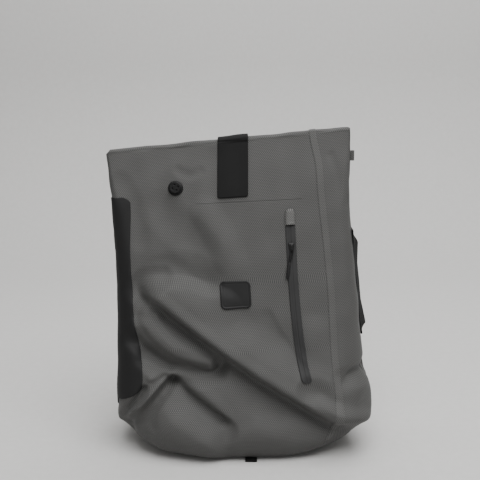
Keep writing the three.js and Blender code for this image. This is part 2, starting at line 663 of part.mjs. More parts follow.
sliderShape.lineTo(ZIP_SLIDER_WIDTH / 3, -ZIP_SLIDER_LENGTH / 2);
sliderShape.lineTo(ZIP_SLIDER_WIDTH / 2, ZIP_SLIDER_LENGTH / 2);
sliderShape.closePath();
const zipPlace = (level) => frontPlace(readTable(ZIP_LINE, level, 'across'), level);
addPiece('zip_slider', 'plastic', seatOnBody(
  new THREE.ExtrudeGeometry(sliderShape, { depth: ZIP_SLIDER_HEIGHT, bevelEnabled: false }),
  zipPlace(ZIP_UP.slider),
  ZIP_UP.slider,
  zipTop + SEAM_GAP,
));
const pullTop = ZIP_UP.slider - (ZIP_SLIDER_LENGTH / 2 + SEAM_GAP) / BAG_HEIGHT;
const pullLow = pullTop - ZIP_PULL_LENGTH / BAG_HEIGHT;
addPiece('zip_pull', 'webbing', slab(levelsBetween(pullLow, pullTop).map((level) => {
  const half = ZIP_PULL_WIDTH / 2;
  return [-half, half].map((wide) => zipKnot(level, wide));
}), zipTop + SEAM_GAP, zipTop + SEAM_GAP + ZIP_PULL_THICKNESS));

// Valve: a flange on the fabric and a slotted cap on the flange.
const wasm = await Module();
wasm.setup();
function toSolid(geometry) {
  const bare = geometry.index ? geometry.toNonIndexed() : geometry.clone();
  bare.deleteAttribute('normal');
  bare.deleteAttribute('uv');
  const merged = mergeVertices(bare, 1e-4);
  return new wasm.Manifold(new wasm.Mesh({
    numProp: 3,
    vertProperties: new Float32Array(merged.attributes.position.array),
    triVerts: new Uint32Array(merged.index.array),
  }));
}
function toGeometry(solid) {
  const { vertProperties, triVerts } = solid.getMesh();
  const geometry = new THREE.BufferGeometry();
  geometry.setAttribute('position', new THREE.BufferAttribute(vertProperties, 3));
  geometry.setIndex(new THREE.BufferAttribute(triVerts, 1));
  geometry.computeVertexNormals();
  return geometry;
}
// A round plate whose axis is z, with its upper edge rounded off.
function roundPlate(radius, height, edge) {
  const profile = [[0, 0], [radius, 0], [radius, height - edge], [radius - edge, height], [0, height]];
  const plate = new THREE.LatheGeometry(profile.map(([x, y]) => new THREE.Vector2(x, y)), 20);
  return plate.rotateX(Math.PI / 2);
}
const valvePlace = [frontPlace(VALVE_PLACE.across, VALVE_PLACE.up), VALVE_PLACE.up];
const flangeGap = LAY_GAP;
addPiece('valve_flange', 'rubber', seatOnBody(
  roundPlate(VALVE_FLANGE_RADIUS, VALVE_FLANGE_THICKNESS, VALVE_FLANGE_THICKNESS / 2),
  ...valvePlace,
  flangeGap,
));
let capSolid = toSolid(roundPlate(VALVE_CAP_RADIUS, VALVE_CAP_HEIGHT, VALVE_CAP_HEIGHT / 3));
for (let turn = 0; turn < VALVE_SLOT_COUNT; turn += 1) {
  const slot = new THREE.BoxGeometry(VALVE_SLOT_LENGTH, VALVE_SLOT_WIDTH, 2 * VALVE_SLOT_DEPTH);
  slot.translate(0, VALVE_CAP_RADIUS / 2, VALVE_CAP_HEIGHT);
  slot.rotateZ(turn * 2 * Math.PI / VALVE_SLOT_COUNT);
  capSolid = capSolid.subtract(toSolid(slot));
}
addPiece('valve_cap', 'rubber', seatOnBody(
  toGeometry(capSolid),
  ...valvePlace,
  flangeGap + VALVE_FLANGE_THICKNESS + SEAM_GAP,
));

// Side handle: webbing sewn at both ends, standing off the right side between them.
const handleLevel = (part) => SIDE_HANDLE_PLACE.up + part * SIDE_HANDLE_LENGTH / 2 / BAG_HEIGHT;
const HANDLE_STATIONS = [
  { part: -1, out: 0 },
  { part: -0.86, out: 0 },
  { part: -0.74, out: 0.95 },
  { part: -0.6, out: 1.1 },
  { part: 0, out: 1 },
  { part: 0.6, out: 1.1 },
  { part: 0.74, out: 0.95 },
  { part: 0.86, out: 0 },
  { part: 1, out: 0 },
];
const handleOff = LAY_GAP + WEBBING_THICKNESS / 2;
addPiece('side_handle', 'webbing', strip(HANDLE_STATIONS.map(({ part, out }) => {
  const { point } = onBody(SIDE_HANDLE_PLACE.across, handleLevel(part));
  point.x += handleOff + out * SIDE_HANDLE_GAP;
  return { point, width: SIDE_HANDLE_WIDTH, thickness: WEBBING_THICKNESS };
}), new THREE.Vector3(0, 1, 0), false));

// Side tab: a small folded tab standing out from the right edge near the top.
const tabSpot = onBody(SIDE_TAB_PLACE.across, SIDE_TAB_PLACE.up).point;
const tab = new THREE.BoxGeometry(SIDE_TAB_REACH, SIDE_TAB_THICKNESS, SIDE_TAB_HEIGHT);
tab.translate(tabSpot.x + SIDE_TAB_REACH / 2 + 2 * SEAM_GAP, tabSpot.y, tabSpot.z);
addPiece('side_tab', 'fabric', tab);

// Bottom tab: lies on the floor under the round of the front's lower edge.
const tabX = BOTTOM_TAB_ACROSS * BAG_WIDTH / 2;
const bottomTab = new THREE.BoxGeometry(BOTTOM_TAB_WIDTH, BOTTOM_TAB_LENGTH, BOTTOM_TAB_THICKNESS);
const tabRoom = Math.acos(1 - (BOTTOM_TAB_THICKNESS + 2 * SEAM_GAP) / BASE_ROUND);
const tabBack = onBody(BOTTOM_TAB_ACROSS, tabRoom / (Math.PI / 2) * BASE_ROUND / BAG_HEIGHT).point.y;
bottomTab.translate(tabX, tabBack - BOTTOM_TAB_LENGTH / 2, BOTTOM_TAB_THICKNESS / 2);
addPiece('bottom_tab', 'webbing', bottomTab);

// Back pad: crowned, thinner along its edge.
const padColumns = [-1, -0.9, -0.5, 0, 0.5, 0.9, 1];
const padRows = [0, 0.03, 0.2, 0.4, 0.6, 0.8, 0.97, 1];
const padHalf = BAG_WIDTH / 2 - PAD_MARGIN;
const padKnots = padRows.map((high) => {
  const level = THREE.MathUtils.lerp(PAD_UP.low, PAD_UP.high, high);
  return padColumns.map((wide) => backKnot(readLevel(level).middle + wide * padHalf, level));
});
const padTop = (column, row) => {
  const atEdge = column === 0 || row === 0 || column === padColumns.length - 1 || row === padRows.length - 1;
  return LAY_GAP + (atEdge ? TAPERS.padEdge : 1) * PAD_THICKNESS;
};
addPiece('back_pad', 'padding', slab(padKnots, LAY_GAP, padTop));

// A point behind the back pad, out from its face.
function behindPad(x, up, out) {
  const { point } = backKnot(x, up);
  point.y += LAY_GAP + PAD_THICKNESS + out;
  return point;
}

// Shoulder straps, from the top of the pad: down and outward, standing off in between. up is a
// share of the height, out of SHOULDER_BOW, spread of the pad's half width, width of SHOULDER_WIDTH.
const SHOULDER_STATIONS = [
  { up: 0.760, out: 0.00, spread: 0.43, width: 0.74 },
  { up: 0.730, out: 0.02, spread: 0.44, width: 0.80 },
  { up: 0.690, out: 0.42, spread: 0.47, width: 0.92 },
  { up: 0.630, out: 0.82, spread: 0.54, width: 1.00 },
  { up: 0.550, out: 1.00, spread: 0.66, width: 1.00 },
  { up: 0.465, out: 0.92, spread: 0.78, width: 0.92 },
  { up: 0.390, out: 0.74, spread: 0.87, width: 0.78 },
  { up: 0.330, out: 0.58, spread: 0.93, width: 0.62 },
];
const WEBBING_UP = { low: 0.105, bend: 0.14 };
const ANCHOR_ROWS = [
  { up: 0.085, width: 1 },
  { up: 0.135, width: 1 },
  { up: 0.155, width: 0.7 },
];
const X_AXIS = new THREE.Vector3(1, 0, 0);
for (const [side, hand] of [[-1, 'left'], [1, 'right']]) {
  const strapX = (up, spread) => readLevel(up).middle + side * spread * padHalf;
  const sewn = STRAP_SEWN_GAP + SHOULDER_THICKNESS / 2;
  addPiece(`shoulder_strap_${hand}`, 'padding', strip(SHOULDER_STATIONS.map((station, index) => ({
    point: behindPad(strapX(station.up, station.spread), station.up, sewn + station.out * SHOULDER_BOW),
    width: station.width * SHOULDER_WIDTH,
    thickness: (index === 0 ? TAPERS.strapEnd : 1) * SHOULDER_THICKNESS,
  })), X_AXIS, true));

  // Ladder lock below the strap's end, in line with it
  const end = SHOULDER_STATIONS[SHOULDER_STATIONS.length - 1];
  const beforeEnd = SHOULDER_STATIONS[SHOULDER_STATIONS.length - 2];
  const endPoint = behindPad(strapX(end.up, end.spread), end.up, sewn + end.out * SHOULDER_BOW);
  const endWay = endPoint.clone()
    .sub(behindPad(strapX(beforeEnd.up, beforeEnd.spread), beforeEnd.up, sewn + beforeEnd.out * SHOULDER_BOW));
  endWay.x = 0;
  endWay.normalize();
  const outWay = new THREE.Vector3().crossVectors(endWay, X_AXIS);
  const lockShape = new THREE.Shape();
  lockShape.moveTo(-LOCK_WIDTH / 2, 0);
  lockShape.lineTo(LOCK_WIDTH / 2, 0);
  lockShape.lineTo(LOCK_WIDTH / 2, LOCK_HEIGHT);
  lockShape.lineTo(-LOCK_WIDTH / 2, LOCK_HEIGHT);
  lockShape.closePath();
  const slotHeight = (LOCK_HEIGHT - 3 * LOCK_BAR) / 2;
  for (const foot of [LOCK_BAR, 2 * LOCK_BAR + slotHeight]) {
    const slot = new THREE.Path();
    slot.moveTo(-LOCK_WIDTH / 2 + LOCK_BAR, foot);
    slot.lineTo(-LOCK_WIDTH / 2 + LOCK_BAR, foot + slotHeight);
    slot.lineTo(LOCK_WIDTH / 2 - LOCK_BAR, foot + slotHeight);
    slot.lineTo(LOCK_WIDTH / 2 - LOCK_BAR, foot);
    slot.closePath();
    lockShape.holes.push(slot);
  }
  const lock = new THREE.ExtrudeGeometry(lockShape, { depth: LOCK_THICKNESS, bevelEnabled: false });
  lock.translate(0, 0, -LOCK_THICKNESS / 2);
  const lockFrame = new THREE.Matrix4().makeBasis(X_AXIS, endWay, new THREE.Vector3().crossVectors(X_AXIS, endWay));
  lockFrame.setPosition(endPoint.clone().addScaledVector(endWay, STRAP_SEWN_GAP));
  addPiece(`ladder_lock_${hand}`, 'plastic', lock.applyMatrix4(lockFrame));

  // Webbing from inside the lock down to its anchor
  const insideGap = LOCK_THICKNESS / 2 + STRAP_SEWN_GAP + WEBBING_THICKNESS / 2;
  const inside = outWay.clone().multiplyScalar(-Math.sign(outWay.y) * insideGap);
  const lockTop = endPoint.clone().addScaledVector(endWay, LOCK_BAR).add(inside);
  const lockLow = endPoint.clone().addScaledVector(endWay, LOCK_HEIGHT).add(inside);
  const anchorX = readLevel(WEBBING_UP.low).middle + side * (padHalf + ANCHOR_GAP + ANCHOR_WIDTH / 2);
  const anchorOut = 2 * LAY_GAP + ANCHOR_THICKNESS + WEBBING_THICKNESS / 2;
  const anchorAt = (up, x) => {
    const { point } = backKnot(x, up);
    point.y += anchorOut;
    return point;
  };
  const webbing = [lockTop, lockLow, anchorAt(WEBBING_UP.bend, anchorX), anchorAt(WEBBING_UP.low, anchorX)];
  const mid = lockLow.clone().lerp(webbing[2], 0.5);
  mid.y += LOCK_THICKNESS;
  webbing.splice(2, 0, mid);
  addPiece(`strap_webbing_${hand}`, 'webbing', strip(webbing.map((point) => ({
    point,
    width: STRAP_WEBBING_WIDTH,
    thickness: WEBBING_THICKNESS,
  })), X_AXIS, false));

  // Anchor: a fabric tab on the back panel beside the pad
  addPiece(`strap_anchor_${hand}`, 'webbing', slab(ANCHOR_ROWS.map(({ up, width }) => [-1, 0, 1].map((wide) => (
    backKnot(anchorX + wide * width * ANCHOR_WIDTH / 2, up)
  ))), LAY_GAP, LAY_GAP + ANCHOR_THICKNESS));
}

// Grab handle across the top of the pad.
const GRAB_UP = { middle: 0.805, below: 0.755 };
const padRise = behindPad(0, GRAB_UP.middle, 0).sub(behindPad(0, GRAB_UP.below, 0)).normalize();
const GRAB_STATIONS = [
  { along: -1, out: 0 },
  { along: -0.82, out: 0 },
  { along: -0.66, out: 0.6 },
  { along: -0.4, out: 0.92 },
  { along: 0, out: 1 },
  { along: 0.4, out: 0.92 },
  { along: 0.66, out: 0.6 },
  { along: 0.82, out: 0 },
  { along: 1, out: 0 },
];
addPiece('grab_handle', 'webbing', strip(GRAB_STATIONS.map(({ along, out }) => {
  const x = readLevel(GRAB_UP.middle).middle + along * GRAB_LENGTH / 2;
  const point = behindPad(x, GRAB_UP.middle, STRAP_SEWN_GAP + WEBBING_THICKNESS / 2 + out * GRAB_BOW);
  return { point, width: GRAB_WIDTH, thickness: WEBBING_THICKNESS };
}), padRise, false));

// The bag stands on z = 0 with the middle of its box at the origin.
const bounds = new THREE.Box3().setFromObject(backpack);
const centre = bounds.getCenter(new THREE.Vector3());
backpack.position.set(-centre.x, -centre.y, -bounds.min.z);

const standing = new THREE.Group();
standing.add(backpack);
export default standing;
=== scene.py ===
# %% [markdown]
# A fold-top messenger backpack stands by itself on a pale floor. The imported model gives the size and
# the place of every piece, in metres, and this lesson dresses it: the camera and the fabric body with
# its folds first, then what is laid on it, then the padded back, and last the floor and the light.

# %% Load the frame
import math
import bpy
import numpy as np
from mathutils import Matrix, Vector


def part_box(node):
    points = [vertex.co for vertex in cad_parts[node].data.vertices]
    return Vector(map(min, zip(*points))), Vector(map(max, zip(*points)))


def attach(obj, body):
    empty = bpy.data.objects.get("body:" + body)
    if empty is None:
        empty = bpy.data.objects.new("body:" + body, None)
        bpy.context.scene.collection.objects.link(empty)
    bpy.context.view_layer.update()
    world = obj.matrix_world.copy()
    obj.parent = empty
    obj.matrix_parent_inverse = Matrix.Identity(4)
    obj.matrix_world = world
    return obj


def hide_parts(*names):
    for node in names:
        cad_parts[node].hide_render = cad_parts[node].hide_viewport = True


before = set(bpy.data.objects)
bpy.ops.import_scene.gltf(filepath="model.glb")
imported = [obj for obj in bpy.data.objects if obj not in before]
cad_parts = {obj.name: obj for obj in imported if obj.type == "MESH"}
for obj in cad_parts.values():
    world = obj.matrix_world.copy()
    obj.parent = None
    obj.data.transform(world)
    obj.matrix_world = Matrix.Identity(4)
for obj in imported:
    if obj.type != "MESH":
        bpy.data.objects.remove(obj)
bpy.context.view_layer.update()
MM = 0.001
ACROSS, BEHIND = np.array([1.0, 0.0, 0.0]), np.array([0.0, 1.0, 0.0])

# %% [markdown]
# The real body is one flat tube of coated fabric. Stuffed, it is deep and round at the base and flat at
# the mouth, and the mouth is folded over to the back. A box with a bevel could not do that. A table of
# sections can: each row says how wide, how deep and how round the body is at one height.

# %% Sizes of the body, in millimetres
BAG_WIDTH, BAG_HEIGHT, BAG_DEPTH = 322.0, 396.0, 141.0
BELLY, SIDE_LEAN, TOP_RISE = 11.0, 21.0, 29.0
CORNER_RADIUS, BACK_CORNER_RADIUS = 60.0, 14.0
BASE_ROUND, BASE_FRONT, BASE_BACK = 26.0, 22.0, 6.0
BASE_SIDE, BASE_SIDE_HEIGHT = 72.0, 60.0
FABRIC_WALL = 1.2
MOUTH_THICKNESS = 2 * FABRIC_WALL + 2.8
MOUTH_RADIUS = (MOUTH_THICKNESS + 0.8) / 2
MOUTH_DROP = 38.0
FOLD_CORNER = 3.0
RING = 6.0

# Columns: up, half width, lean, back, depth, belly, left and right corner radius, all as shares.
SECTIONS = np.array([
    [0.00, 0.985, 0.00, 0.500, 0.962, 1.30, 0.95, 1.00],
    [0.08, 1.000, 0.08, 0.498, 0.960, 1.25, 0.80, 1.00],
    [0.20, 1.015, 0.16, 0.489, 0.864, 1.10, 0.48, 0.98],
    [0.32, 0.995, 0.04, 0.470, 0.733, 1.00, 0.44, 0.90],
    [0.52, 0.978, -0.17, 0.428, 0.512, 0.80, 0.42, 0.58],
    [0.72, 0.966, -0.46, 0.373, 0.294, 0.45, 0.32, 0.34],
    [0.82, 0.966, -0.57, 0.342, 0.182, 0.25, 0.22, 0.24],
    [0.90, 0.980, -0.63, 0.328, 0.098, 0.10, 0.14, 0.14],
    [0.96, 0.988, -0.70, 0.326, 0.037, 0.03, 0.08, 0.08],
    [1.00, 0.995, -0.74, 0.326, 0.000, 0.00, 0.04, 0.04],
])


def arc(share, power=2):
    """The height of a quarter circle: 1 at share 0 and 0 at share 1."""
    return np.sqrt(np.maximum(1 - share ** power, 0))


def round_over(share):
    """From 0 to 1 as over a rounded edge, and level after it."""
    return arc(1 - np.clip(share, 0, 1))


def unit(way):
    return way / np.linalg.norm(way, axis=-1, keepdims=True)


def read_rows(rows, up):
    """Every column of a table at the asked heights, as smooth curves through its rows."""
    known = rows[:, 0]
    up = np.clip(up, known[0], known[-1])
    row = np.clip(np.searchsorted(known, up, side="left") - 1, 0, len(known) - 2)
    before, after = np.maximum(row - 1, 0), np.minimum(row + 2, len(known) - 1)
    span = (known[row + 1] - known[row])[..., None]
    share = (up - known[row])[..., None] / span
    slope_in = (rows[row + 1] - rows[before]) / (known[row + 1] - known[before])[..., None] * span
    slope_out = (rows[after] - rows[row]) / (known[after] - known[row])[..., None] * span
    square, cube = share ** 2, share ** 3
    return (
        (2 * cube - 3 * square + 1) * rows[row] + (cube - 2 * square + share) * slope_in
        + (3 * square - 2 * cube) * rows[row + 1] + (cube - square) * slope_out
    )


def read_level(level):
    """The body's sizes at one level, or at many at once."""
    up = np.minimum(level, 1.0)
    _, _, _, back, deep, belly, left, right = np.moveaxis(read_rows(SECTIONS, up), -1, 0)
    edge_up = np.where(np.asarray(level) > 2, 1 - (level - 2) * MOUTH_DROP / BAG_HEIGHT, up)
    half, lean = np.moveaxis(read_rows(SECTIONS, edge_up), -1, 0)[1:3]
    quarter = np.minimum(up * BAG_HEIGHT / BASE_ROUND, 1.0) * math.pi / 2
    drawn = 1 - np.sin(quarter)
    inset = BASE_FRONT * drawn
    lift = np.where(quarter < math.pi / 2, BASE_ROUND * (1 - np.cos(quarter)), up * BAG_HEIGHT)
    drawn_side = 1 - round_over(lift / BASE_SIDE_HEIGHT)
    deep = MOUTH_THICKNESS + deep * (BAG_DEPTH - MOUTH_THICKNESS)
    limit = 0.35 * (deep - inset - BASE_BACK * drawn)

    def corner(radius):
        return np.minimum(np.maximum(radius - inset, BASE_ROUND / 4), limit)

    return {
        "up": up, "lift": lift, "middle": lean * SIDE_LEAN, "belly": belly * BELLY,
        "half": half * BAG_WIDTH / 2 - BASE_SIDE * drawn_side,
        "front": back * BAG_DEPTH - deep + inset, "back": back * BAG_DEPTH - BASE_BACK * drawn,
        "left": corner(left * CORNER_RADIUS), "right": corner(right * CORNER_RADIUS),
        "rear": corner(BACK_CORNER_RADIUS + 0 * half),
    }


def middle_at(level):
    """How far the body's middle has leaned to the side at a level."""
    return float(read_level(level)["middle"])


# %% [markdown]
# The fabric's folds are what the eye reads first. They could be simulated, but then they would land
# where they like. Here each fold is drawn as the light in the photograph shows it: a curve
# through three places, how high it rises, and how far it spreads to each side.

# %% Folds of the front
FOLD_HEIGHT, FOLD_SPREAD = 12.0, 30.0
# Columns: from, via and to (share of half the width across, share of the height up), then rise and
# the spreads to the left and to the right of the drawn direction.
FOLDS = [
    ((-0.66, 0.52), (0.07, 0.311), (0.84, 0.125), 1.00, 1.70, 0.62),
    ((-0.64, 0.475), (0.03, 0.268), (0.76, 0.09), -0.70, 0.50, 1.50),
    ((-0.74, 0.46), (-0.58, 0.373), (-0.24, 0.303), 0.80, 0.80, 0.50),
    ((-0.82, 0.36), (-0.56, 0.298), (-0.20, 0.283), -0.85, 1.00, 0.35),
    ((-0.545, 0.245), (-0.72, 0.172), (-0.91, 0.085), -0.70, 1.20, 0.36),
    ((-0.545, 0.245), (-0.36, 0.19), (-0.13, 0.128), -0.70, 0.36, 1.20),
    ((-0.58, 0.15), (-0.48, 0.115), (-0.32, 0.08), 0.80, 1.50, 1.50),
    ((-0.78, 0.225), (-0.85, 0.17), (-0.91, 0.11), -0.36, 0.35, 0.25),
    ((-0.73, 0.53), (-0.50, 0.588), (-0.24, 0.555), -0.45, 1.10, 0.50),
    ((-0.64, 0.545), (-0.40, 0.535), (-0.10, 0.50), 0.35, 0.60, 1.10),
    ((-0.22, 0.78), (-0.13, 0.71), (-0.03, 0.62), 0.25, 0.90, 0.80),
    ((-0.58, 0.80), (-0.42, 0.73), (-0.26, 0.67), -0.25, 1.00, 1.00),
    ((-0.10, 0.425), (0.15, 0.395), (0.36, 0.335), -0.28, 1.20, 0.80),
    ((0.58, 0.40), (0.62, 0.33), (0.70, 0.26), 0.25, 0.90, 0.90),
    ((0.78, 0.25), (0.90, 0.262), (1.20, 0.27), -0.42, 0.55, 0.60),
    ((0.72, 0.215), (0.92, 0.21), (1.20, 0.205), 0.24, 0.80, 0.90),
    ((0.52, 0.225), (0.70, 0.205), (0.86, 0.175), -0.52, 0.70, 0.55),
    ((-0.04, 0.10), (0.30, 0.10), (0.66, 0.085), 0.35, 0.90, 0.80),
    ((-1.40, 0.11), (-1.10, 0.10), (-0.88, 0.085), 0.50, 0.80, 0.80),
]


def stroke_relief(across, up, strokes):
    """How far the drawn folds push the fabric out at each place, in millimetres."""
    here = np.stack([across * BAG_WIDTH / 2, up * BAG_HEIGHT], -1)
    relief = np.zeros(across.shape)
    scale = np.array([BAG_WIDTH / 2, BAG_HEIGHT])
    for start, via, end, rise, over, under in strokes:
        start, via, end = (np.array(place) * scale for place in (start, via, end))
        control = 2 * via - (start + end) / 2
        shares = np.linspace(0, 1, 9)[:, None]
        curve = (1 - shares) ** 2 * start + 2 * shares * (1 - shares) * control + shares ** 2 * end
        nearest = np.full(across.shape, np.inf)
        for low, high in zip(curve[:-1], curve[1:]):
            along = high - low
            away = here - low
            share = np.clip(away @ along / (along @ along), 0, 1)
            off = away - share[..., None] * along
            gap = np.linalg.norm(off, axis=-1)
            side = (along[0] * off[..., 1] - along[1] * off[..., 0]) / np.linalg.norm(along)
            lean = side / np.maximum(gap, 1e-9)
            spread = FOLD_SPREAD * (under + (over - under) * (1 + lean) / 2)
            nearest = np.minimum(nearest, gap / spread)
        relief += rise * FOLD_HEIGHT * np.where(nearest < 1, (1 - np.minimum(nearest, 1) ** 2) ** 2, 0)
    return relief


# %% [markdown]
# One function now gives any spot of the body. It runs once round the bag: -1 to 1 across the front, 1 to
# 2 along the right side, 2 to 4 across the back and 4 to 5 along the left side. Levels above 1 go over
# the fold, and above 2 down behind it.

# %% The body's surface
def run_with_corners(place, half, low, high):
    """A straight run between two rounded corners."""
    side = np.where(place < 0, -1.0, 1.0)
    radius = np.where(side > 0, high, low)
    straight = 1 - radius / half
    over = np.maximum(np.abs(place) - straight, 0) / (1 - straight)
    turn = side * over * math.pi / 2
    across = np.where(over > 0, side * straight + radius / half * np.sin(turn), place)
    return across, turn, radius


def front_place(across, level):
    """The place along the front for a share of half the width."""
    size = read_level(np.asarray(level, float))
    side = np.where(np.asarray(across) < 0, -1.0, 1.0)
    radius = np.where(side > 0, size["right"], size["left"])
    straight = 1 - radius / size["half"]
    sine = np.clip((np.abs(across) - straight) / (1 - straight), 0, 1)
    bent = side * (straight + (1 - straight) * np.arcsin(sine) / (math.pi / 2))
    return np.where(np.abs(across) <= straight, across, bent)


def body_point(place, level, strokes=FOLDS, fine=None):
    """Points of the fabric's outer face, in millimetres, before the bag is moved to its origin."""
    place, level = np.broadcast_arrays(np.asarray(place, float), np.asarray(level, float))
    size = read_level(level)
    half, middle, rear_radius = size["half"], size["middle"], size["rear"]
    at = np.where(place > 5, place - RING, place)
    front, right, rear, left = at <= 1, (at > 1) & (at < 2), (at >= 2) & (at <= 4), at > 4
    run, turn, radius = run_with_corners(np.clip(at, -1, 1), half, size["left"], size["right"])
    back_run, back_turn, _ = run_with_corners(np.clip(3 - at, -1, 1), half, rear_radius, rear_radius)
    side_front = size["front"] + np.where(right, size["right"], size["left"])
    side_y = side_front + (size["back"] - rear_radius - side_front) * np.where(right, at - 1, 5 - at)
    x = np.select([front, right, rear], [run * half, half, back_run * half], -half)
    front_y = size["front"] + radius * (1 - np.cos(turn)) - size["belly"] * (1 - run ** 2)
    back_y = size["back"] - rear_radius * (1 - np.cos(back_turn))
    y = np.select([front, rear], [front_y, back_y], side_y)
    out_x = np.select([front, right, rear], [np.sin(turn), 1.0, np.sin(back_turn)], -1.0)
    out_y = np.select([front, rear], [-np.cos(turn), np.cos(back_turn)], 0.0)
    across = np.where(rear, 9.0, np.where(left, at - RING, at))
    relief = np.where(rear, 0, stroke_relief(across, size["up"], strokes))
    if fine is not None:
        relief = relief + fine(at, level)
    x = x + middle + out_x * relief
    y = y + out_y * relief
    z = size["lift"] + TOP_RISE * (x / BAG_WIDTH) * size["up"] ** 2
    layer = (size["front"] + size["back"]) / 2 - y
    bend = math.pi * np.clip(level - 1, 0, 1)
    reach = MOUTH_RADIUS + layer
    x = x - np.minimum((x - middle) / half, 0) * FOLD_CORNER * np.sin(bend)
    fold_y = y + reach * (1 - np.cos(bend))
    fold_z = z + reach * np.sin(bend) - MOUTH_DROP * np.maximum(level - 2, 0)
    folded = level > 1
    return np.stack([x, np.where(folded, fold_y, y), np.where(folded, fold_z, z)], -1)


# %% [markdown]
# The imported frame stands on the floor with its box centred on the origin, so the drawn body is moved once
# by the difference between its own base outline and the frame's. The camera comes next, before any
# piece: what it sees decides how much work each side of the bag deserves. It looks down by 12 degrees
# with a lens of 62 mm, found by fitting corners, zip and label to where the photograph has them.

# %% Where the bag stands, and the camera
ring = np.linspace(-1, 5, 601)
outline = body_point(ring, 0.0)
base_low, base_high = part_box("base_panel")
SHIFT = np.array((base_low + base_high) / 2) / MM
SHIFT[:2] -= (outline[:, :2].max(0) + outline[:, :2].min(0)) / 2
SHIFT[2] = 0.0
print("moved by", np.round(SHIFT, 2), "mm")


def aim_camera(eye, pitch, yaw, roll, lens):
    """A camera at a place in millimetres, turned down, to the right and about its own axis."""
    cp, sp, cy, sy = math.cos(pitch), math.sin(pitch), math.cos(yaw), math.sin(yaw)
    forward = Vector((sy * cp, cy * cp, -sp))
    right = Vector((cy, -sy, 0.0))
    upward = right.cross(forward)
    across = math.cos(roll) * right + math.sin(roll) * upward
    above = math.cos(roll) * upward - math.sin(roll) * right
    data = bpy.data.cameras.new("photo_camera")
    data.lens, data.sensor_width = lens, 36.0
    camera = bpy.data.objects.new("photo_camera", data)
    turn = Matrix((across, above, -forward)).transposed().to_4x4()
    camera.matrix_world = Matrix.Translation(Vector((np.array(eye) + SHIFT) * MM)) @ turn
    bpy.context.scene.collection.objects.link(camera)
    bpy.context.scene.camera = camera
    return camera


EYE, LENS = (18.5, -1045.5, 495.0), 61.95
PITCH, YAW, ROLL = (math.radians(angle) for angle in (12, -0.97, -0.37))
camera = aim_camera(EYE, PITCH, YAW, ROLL, LENS)
print("camera at", [round(value, 3) for value in camera.matrix_world.translation])

# %% [markdown]
# Every finish is a network of nodes. One small helper adds a node, sets its inputs and links those that
# come from other nodes, so each recipe below reads from top to bottom as the finish itself does:
# first where on the cloth a point lies, then the yarns, then colour, roughness and height.

# %% A recipe for finishes
class Finish:
    """A material whose nodes are added one by one."""

    def __init__(self, name, colour, roughness, specular, sheen=0.0):
        self.material = bpy.data.materials.new(name)
        self.material.use_nodes = True
        self.nodes = self.material.node_tree.nodes
        self.links = self.material.node_tree.links
        self.shader = self.nodes["Principled BSDF"]
        self.fill(self.shader, {
            "Base Color": colour, "Roughness": roughness, "Specular IOR Level": specular,
            "Sheen Weight": sheen, "Sheen Roughness": 0.5,
        })

    def fill(self, node, values):
        """Sets inputs of a node: a socket is linked, a colour gets its fourth value, None is passed by."""
        for key, value in values.items():
            if isinstance(value, bpy.types.NodeSocket):
                self.links.new(value, node.inputs[key])
            elif value is not None:
                node.inputs[key].default_value = (*value, 1) if isinstance(value, tuple) else value

    def add(self, kind, values, out=0, **settings):
        node = self.nodes.new(kind)
        for key, value in settings.items():
            setattr(node, key, value)
        self.fill(node, values)
        return node.outputs[out]

    def math(self, operation, *values):
        return self.add("ShaderNodeMath", dict(enumerate(values)), operation=operation)

    def remap(self, *values):
        """A value, where it starts and ends, and what it becomes there."""
        return self.add("ShaderNodeMapRange", dict(enumerate(values)))

    def wave(self, value, period):
        """A smooth wave from 0 to 1 along a coordinate."""
        sine = self.math("SINE", self.math("MULTIPLY", value, 2 * math.pi / period))
        return self.math("MULTIPLY_ADD", sine, 0.5, 0.5)

    def split(self, vector):
        node = self.nodes.new("ShaderNodeSeparateXYZ")
        self.links.new(vector, node.inputs[0])
        return node.outputs

    def cloth_place(self):
        """The two coordinates along the cloth, in millimetres."""
        return self.split(self.add("ShaderNodeUVMap", {}, uv_map="cloth"))[:2]

    def object_place(self):
        return self.add("ShaderNodeTexCoord", {}, "Object")

    def noise(self, scale, detail):
        values = {"Vector": self.object_place(), "Scale": scale, "Detail": detail, "Roughness": 0.55}
        return self.add("ShaderNodeTexNoise", values, "Fac")

    def mix(self, share, low, high):
        return self.add("ShaderNodeMix", {0: share, 6: low, 7: high}, 2, data_type="RGBA")

    def span(self, value, low, high):
        """A value from 0 to 1 stretched to run from low to high."""
        return self.math("MULTIPLY_ADD", value, high - low, low)

    def raise_by(self, height, distance, strength):
        """A height from 0 to 1, as a bump that is so many millimetres high."""
        values = {"Strength": strength, "Distance": distance * MM, "Height": height}
        self.fill(self.shader, {"Normal": self.add("ShaderNodeBump", values)})

    def paint(self, colour, roughness=None):
        self.fill(self.shader, {"Base Color": colour, "Roughness": roughness})


# %% [markdown]
# The bag's cloth is a grey polyester weave under a clear matt coating. From close by it shows rows of
# small light dots, the yarns that pass over, stepping along a diagonal as in a twill. A flat grey with
# noise would look like felt. Two crossed waves give the dots, a slant gives the diagonal, and a slow
# noise makes the coating a little uneven. The front also has a pressed weld line below its closure.

